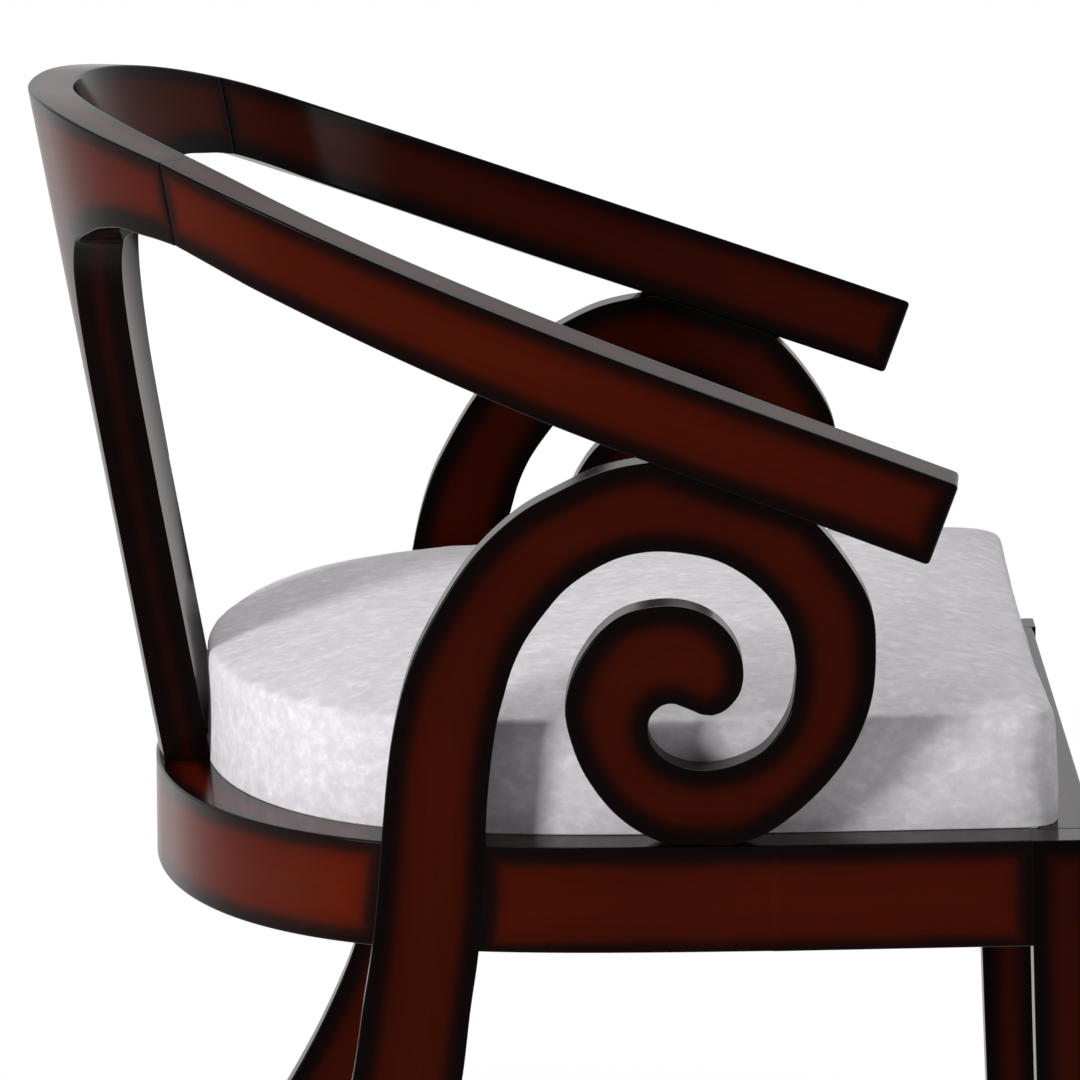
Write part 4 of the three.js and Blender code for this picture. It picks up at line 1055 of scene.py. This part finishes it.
@dataclass
class Cushion:
    """The boxed seat cushion: crowned top and straight sides sewn at a crisp edge.

    The side's rows are insets and heights from the sewn edge down. The cushion is blown up as
    cloth, and no vertex moves further than the cap.
    """

    seat: SeatPlan
    shift: float
    middle: tuple[float, float] = (0.0, -24.0)
    inset: float = 28.0
    back_inset: float = 29.5
    front_inset: float = 18.0
    corner: float = 15.0
    board_inset: float = 30.3
    cover: float = 1.6
    cells: int = 64
    height: float = 62.4
    crown: float = 17.0
    rim_inset: float = 4.4
    base_inset: float = 0.8
    side: Rows = (
        (2.4, 61.4), (1.2, 59.4), (0.7, 56.0), (0.9, 50.0), (1.5, 42.5), (1.8, 34.5), (1.8, 27.0),
        (1.5, 19.0), (1.2, 12.0), (0.9, 6.5), (0.6, 2.6), (0.3, 0.9), (0.2, 0.2),
    )
    clear: float = 0.05
    hollow: float = 4.2
    ease: float = 2.4
    ease_angle: float = 0.15
    eased_from: float = -150.0
    eased_over: float = 110.0
    outline_points: int = 721
    corner_points: int = 60
    crown_power: float = 0.68
    pressure: float = 4.0
    frames: int = 20
    cap: float = 3.5
    lumps: float = 0.7
    lump_fade: float = 25.0

    def reach(self, angle: Array) -> Array:
        """Distance of the plan outline from its middle, wide enough to cover the seat board."""
        seat, half = self.seat, self.seat.half_width - self.inset
        bow = seat.bow(np.linspace(0, np.pi, self.outline_points), self.inset, self.back_inset)
        low = seat.front_y + self.front_inset
        quarter = np.linspace(0, np.pi / 2, self.corner_points)
        curve = np.stack([self.corner * np.cos(quarter), -self.corner * np.sin(quarter)], -1)
        right = curve + [half - self.corner, low + self.corner]
        straight = np.linspace(0, 1, self.corner_points)[:, None]
        side = lerp(np.array([[half, seat.bend_y]]), right[:1], straight)
        front = lerp(right[-1:], np.array([[0.0, low]]), straight)
        half_loop = np.vstack([side, right, front])
        own = polar(angle, np.vstack([bow, half_loop, half_loop * [-1, 1]]) - self.middle)
        turns = np.linspace(LEAST_TURN, np.pi - LEAST_TURN, self.outline_points)
        least = polar(angle, seat.outline(turns, self.board_inset) - self.middle) + self.cover
        return np.where(np.sin(angle) > 0, np.maximum(own, least), own)

    def _sheet(self, inset: float) -> tuple[Array, Array]:
        """Plan places of a square grid spread over the outline, and how far out each lies."""
        line = np.linspace(-1, 1, self.cells + 1)
        p, q = np.meshgrid(line, line)
        u, v = p * np.sqrt(1 - q * q / 2), q * np.sqrt(1 - p * p / 2)
        share, angle = np.hypot(u, v), np.arctan2(v, u)
        reach = share * (self.reach(angle) - inset)
        plan = np.stack([reach * np.cos(angle), reach * np.sin(angle)], -1) + self.middle
        return plan.reshape(-1, 2), share.ravel()

    def shape(self) -> tuple[Array, Array, Array]:
        """The cushion before it is blown up.

        Returns:
            Vertices in millimetres, faces, and the numbers of the vertices that are sewn or rest.
        """
        count = self.cells + 1
        grid = np.arange(count * count).reshape(count, count)
        rim = np.concatenate([grid[0, :-1], grid[:-1, -1], grid[-1, :0:-1], grid[:0:-1, 0]])
        top, share = self._sheet(self.rim_inset)
        base, _ = self._sheet(self.side[-1][0] + self.base_inset)
        x, y = (top[rim] - self.middle).T
        angle = np.arctan2(y, x)
        out = np.stack([np.cos(angle), np.sin(angle)], -1)
        insets, levels = np.array(self.side).T
        rows = (self.reach(angle) - insets[:, None])[..., None] * out + self.middle
        crown = self.height + self.crown * np.maximum(1 - share**3, 0) ** self.crown_power
        height = np.concatenate([crown, np.repeat(levels, len(rim)), np.zeros(len(base))])
        plan = self._eased(np.vstack([top, rows.reshape(-1, 2), base]), height)
        z = self.seat.rail_top(plan[:, 1]) + self.clear + height
        verts = np.column_stack([plan[:, 0], plan[:, 1] + self.shift, z])
        low = len(top) + len(self.side) * len(rim)
        side = np.arange(len(top), low).reshape(-1, len(rim))
        rings = np.vstack([rim, side, low + rim])
        nxt = np.roll(rings, -1, axis=1)
        walls = np.stack([rings[:-1], rings[1:], nxt[1:], nxt[:-1]], -1).reshape(-1, 4)
        cell = np.stack([grid[:-1, :-1], grid[:-1, 1:], grid[1:, 1:], grid[1:, :-1]], -1)
        cell = cell.reshape(-1, 4)
        held = np.concatenate([rim, np.arange(low - len(rim), len(verts))])
        return verts, np.vstack([cell, walls, cell[:, ::-1] + low]), held

    def _eased(self, plan: Array, height: Array) -> Array:
        """Draws the upper front back: hollow along the middle and rounder at the corners.

        Args:
            plan: X and Y of each vertex.
            height: Height of each vertex above the rails.

        Returns:
            The moved X and Y.
        """
        half = self.seat.half_width - self.inset
        high = smoothstep(height / self.height)
        near = smoothstep((self.eased_from - plan[:, 1]) / self.eased_over)
        across = np.clip(np.abs(plan[:, 0]) / half, 0, 1)
        moved = plan.copy()
        moved[:, 1] += self.hollow * high * near * (1 - across**3)
        outward = moved - self.middle
        corner = np.array([half, self.seat.front_y + self.front_inset]) - self.middle
        off = (np.arctan2(-outward[:, 1], np.abs(outward[:, 0]))
               - np.arctan2(-corner[1], corner[0]))
        cut = (self.ease * high * near * np.exp(-(off / self.ease_angle) ** 2)
               * smoothstep(across * 1.6 - 0.6))
        far = np.linalg.norm(outward, axis=1, keepdims=True).clip(1e-6)
        return moved - outward / far * cut[:, None]

    def build(self) -> bpy.types.Object:
        """Makes the cushion and blows it up."""
        verts, faces, held = self.shape()
        thing = mesh_object("velvet_cushion", verts, [faces])
        self._inflate(thing, held)
        places = self._places(thing.data)
        places += self._unevenness(places)
        floor = (self.seat.rail_top(places[:, 1] / MM - self.shift) + self.clear) * MM
        places[:, 2] = np.maximum(places[:, 2], floor)
        self._write(thing.data, places)
        finer = thing.modifiers.new("finer", "SUBSURF")
        finer.levels = finer.render_levels = 1
        return thing

    def _inflate(self, thing: bpy.types.Object, held: Array) -> None:
        """Blows the cushion up with cloth under pressure and caps how far it moves.

        Args:
            thing: The cushion.
            held: Numbers of the vertices that stay.
        """
        start = self._places(thing.data)
        thing.vertex_groups.new(name="held").add(held.tolist(), 1.0, "REPLACE")
        cloth = thing.modifiers.new("cloth", "CLOTH")
        cloth.settings.quality = 5
        cloth.settings.mass = 0.3
        cloth.settings.use_pressure = True
        cloth.settings.uniform_pressure_force = self.pressure
        cloth.settings.effector_weights.gravity = 0.0
        cloth.settings.vertex_group_mass = "held"
        cloth.point_cache.frame_start, cloth.point_cache.frame_end = 1, self.frames
        for number in range(1, self.frames + 1):
            bpy.context.scene.frame_set(number)
        graph = bpy.context.evaluated_depsgraph_get()
        moved = self._places(thing.evaluated_get(graph).data) - start
        thing.modifiers.clear()
        bpy.context.scene.frame_set(1)
        far = np.linalg.norm(moved, axis=1, keepdims=True)
        moved *= np.tanh(far / (self.cap * MM)) * self.cap * MM / np.maximum(far, 1e-9)
        self._write(thing.data, start + moved)
        LOG.info("cushion blown up: %.1f mm at most before the cap", far.max() / MM)

    def _unevenness(self, places: Array) -> Array:
        """Shallow lumps of the filling and puckers of the cover.

        Args:
            places: Vertex places in metres.

        Returns:
            Moves in metres.
        """
        x, y, z = (places / MM).T
        lump = (np.sin(x / 41 + 0.6 * np.sin(y / 57)) * np.sin(y / 47 + 1.1) * 0.6
                + np.sin(x / 23 - y / 31 + 0.4) * 0.25 + np.sin(x / 13 + y / 17) * 0.15)
        above = z - self.seat.height
        angle = np.arctan2(y - self.middle[1] - self.shift, x)
        pucker = np.sin(angle * 37 + 1.3 * np.sin(angle * 9)) + np.sin(angle * 61 + z / 19)
        flat = 0.25 * pucker * np.sin(np.clip(above / self.height, 0, 1) * np.pi)
        moves = [flat * np.cos(angle), flat * np.sin(angle),
                 lump * smoothstep(above / self.lump_fade)]
        return np.stack(moves, -1) * self.lumps * MM

    @staticmethod
    def _places(mesh: bpy.types.Mesh) -> Array:
        """Vertex places in metres."""
        places = np.empty(len(mesh.vertices) * 3, np.float32)
        mesh.vertices.foreach_get("co", places)
        return places.reshape(-1, 3).astype(float)

    @staticmethod
    def _write(mesh: bpy.types.Mesh, places: Array) -> None:
        """Moves the vertices."""
        mesh.vertices.foreach_set("co", places.astype(np.float32).ravel())
        mesh.update()


@dataclass
class Woodwork:
    """Every wooden piece that shows."""

    shift: float = -5.0
    seat: SeatPlan = field(default_factory=SeatPlan)

    def bars(self) -> list[tuple[Bar, str]]:
        """Each bar with the CAD node it stands for."""
        shoe = Horseshoe(self.seat)
        board = ScrollBoard(self.seat, shoe)
        frame = SeatFrame(self.seat, board)
        fine = Rounding(1.5, 0.8, 2.8, steps=220)
        sheet = Rounding(1.4, 0.8, 0.8, wide=56, steps=600)
        sawn = Rounding(wide=18, steps=900)
        rail = Rounding(1.3, 0.6, 0.6)
        made = [
            (Bar("crest_and_splat", shoe.crest_place(), sheet,
                 (-3.0, -3.0, 2.2, 2.2, 5.2, 5.2), (1.6, 1.0, 1.6)), "crest_splat"),
            (Bar("back_rail", frame.back_rail_place(), rail,
                 (2.0, 2.0, 1.0, 1.0, 2.0, 2.0), (2.0, 1.8, 2.0)), "rail_back"),
            (Bar("front_rail", frame.front_rail, rail), "rail_front"),
        ]
        scroll = board.place()
        for side in Side:
            word = side.name.lower()
            made += [
                (Bar(f"armrest_{word}", mirrored(shoe.arm, side), fine,
                     (3.2, 3.2, 0.6, 0.6, 5.2, 0.0), (1.8, 1.15, 0.95)), f"arm_{word}"),
                (Bar(f"scroll_and_sabre_leg_{word}", mirrored(scroll, side), sawn,
                     (-1.2, -1.2, 0.0, 0.0, 0.0, 0.0), (0.9, 0.84, 0.9)), f"scroll_leg_{word}"),
                (Bar(f"front_leg_{word}", mirrored(frame.front_leg, side), rail,
                     tone=(0.75, 0.7, 0.6)), f"leg_front_{word}"),
                (Bar(f"side_rail_{word}", mirrored(frame.side_rail, side), rail,
                     (0.0, 0.0, 4.0, 4.0, 0.0, 0.0), (1.25, 1.12, 1.12)), f"rail_side_{word}"),
            ]
        return made

    def build(self, finish: bpy.types.Material) -> None:
        """Makes, finishes and ties every bar to the frame."""
        for bar, node in self.bars():
            thing = bar.build(self.shift)
            thing.data.materials.append(finish)
            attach(thing, "root")
            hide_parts(node)
            LOG.info("%s: %d faces", thing.name, len(thing.data.polygons))


@dataclass
class Studio:
    """Camera, floor, white surroundings and lamps, in metres.

    Each lamp is a square soft box that faces the seat, with its place, side and power in watts.
    """

    lens: float = 231.13
    place: Triple = (-3.85567, -0.005, 1.3076)
    right: Triple = (0.00404178, -0.99999183, 0.0)
    up: Triple = (0.19934755, 0.00080573, 0.97992852)
    back: Triple = (-0.97992052, -0.00396066, 0.19934917)
    aim: Triple = (0.0, 0.0, 0.45)
    floor_half: float = 40.0
    white_near: float = 0.85
    white_from: float = 0.32
    white_to: float = 0.8
    lamps: tuple[tuple[str, Triple, float, float], ...] = (
        ("key", (-2.05, 2.47, 0.97), 0.9, 93.0),
        ("fill", (-1.9, -2.4, 0.95), 0.8, 18.0),
        ("top", (0.9, 0.1, 2.75), 2.0, 49.0),
    )

    def camera(self) -> None:
        """The photograph's own view."""
        data = bpy.data.cameras.new("camera")
        data.lens, data.sensor_width, data.clip_end = self.lens, 36.0, 200.0
        thing = linked("camera", data)
        matrix = np.eye(4)
        matrix[:3] = np.transpose([self.right, self.up, self.back, self.place])
        thing.matrix_world = Matrix(matrix.tolist())
        bpy.context.scene.camera = thing

    def floor(self) -> None:
        """A wide pale floor that looks white, but keeps some of the chair's shadow near it."""
        far, span = self.floor_half, 4.0
        corners = [(-far, -far, 0), (far, -far, 0), (far, far, 0), (-far, far, 0)]
        mesh = bpy.data.meshes.new("floor")
        mesh.from_pydata(corners, [], [(0, 1, 2, 3)])
        thing = linked("floor", mesh)
        build = Nodes(bpy.data.materials.new("floor"))
        coords = build.add("ShaderNodeTexCoord").outputs["Object"]
        away = build.add("ShaderNodeVectorMath", {0: coords}, operation="LENGTH")
        white = build.ramp(build.math("DIVIDE", away.outputs["Value"], span), [
            (self.white_from / span, (self.white_near,)), (self.white_to / span, (1.0,))])
        build.blend("ShaderNodeOutputMaterial", build.math("MULTIPLY", build.seen(), white),
                    build.add("ShaderNodeBsdfDiffuse", {"Color": (0.8, 0.8, 0.8, 1.0)}),
                    build.add("ShaderNodeEmission", {"Color": WHITE, "Strength": 1.0}))
        mesh.materials.append(build.owner)

    def world(self) -> None:
        """White surroundings to look at, and a far dimmer white to be lit by."""
        world = bpy.data.worlds.new("studio")
        bpy.context.scene.world = world
        build = Nodes(world)
        light, look = (build.add("ShaderNodeBackground", {"Color": WHITE, "Strength": strength})
                       for strength in (0.08, 1.0))
        build.blend("ShaderNodeOutputWorld", build.seen(), light, look)

    def lamp(self, name: str, place: Triple, size: float, power: float) -> None:
        """A square soft box that faces the seat.

        Args:
            name: Its name.
            place: Where it stands.
            size: Length of its side.
            power: Its power in watts.
        """
        data = bpy.data.lights.new(name, "AREA")
        data.shape, data.size, data.energy = "SQUARE", size, power
        thing = linked(name, data)
        thing.location = place
        thing.rotation_mode = "QUATERNION"
        thing.rotation_quaternion = (Vector(self.aim) - Vector(place)).to_track_quat("-Z", "Y")

    def build(self) -> None:
        """Sets the whole studio up."""
        self.camera()
        self.floor()
        self.world()
        for lamp in self.lamps:
            self.lamp(*lamp)
        bpy.context.scene.view_settings.view_transform = "Standard"


def dress_hidden(nodes: dict[str, bpy.types.Object]) -> None:
    """Gives the pieces that stay as CAD their finishes.

    Args:
        nodes: The frame's nodes by name.
    """
    birch = Plain("birch", (0.79, 0.64, 0.42), 0.6, stretch=(1.0, 0.15, 1.0), scale=90.0).material()
    steel = Plain("screw_steel", (0.6, 0.61, 0.62), 0.3, metallic=1.0).material()
    nylon = Plain("glide_nylon", (0.02, 0.02, 0.022), 0.45).material()
    for name, thing in nodes.items():
        if thing.hide_render:
            continue
        finish = steel if name.startswith("screw") else nylon if name.startswith("glide") else birch
        if not thing.material_slots:
            thing.data.materials.append(finish)
        for slot in thing.material_slots:
            slot.material = finish


def main() -> None:
    """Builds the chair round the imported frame."""
    logging.basicConfig(level=logging.INFO, format="%(name)s: %(message)s")
    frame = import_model()
    nodes = frame["nodes"]
    woodwork = Woodwork()
    woodwork.build(Lacquer().material())
    cushion = Cushion(woodwork.seat, woodwork.shift).build()
    cushion.data.materials.append(Velvet().material())
    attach(cushion, "root")
    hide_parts("seat_cushion")
    LOG.info("cushion: %d faces", len(cushion.data.polygons))
    dress_hidden(nodes)
    Studio().build()


if __name__ == "__main__":
    main()
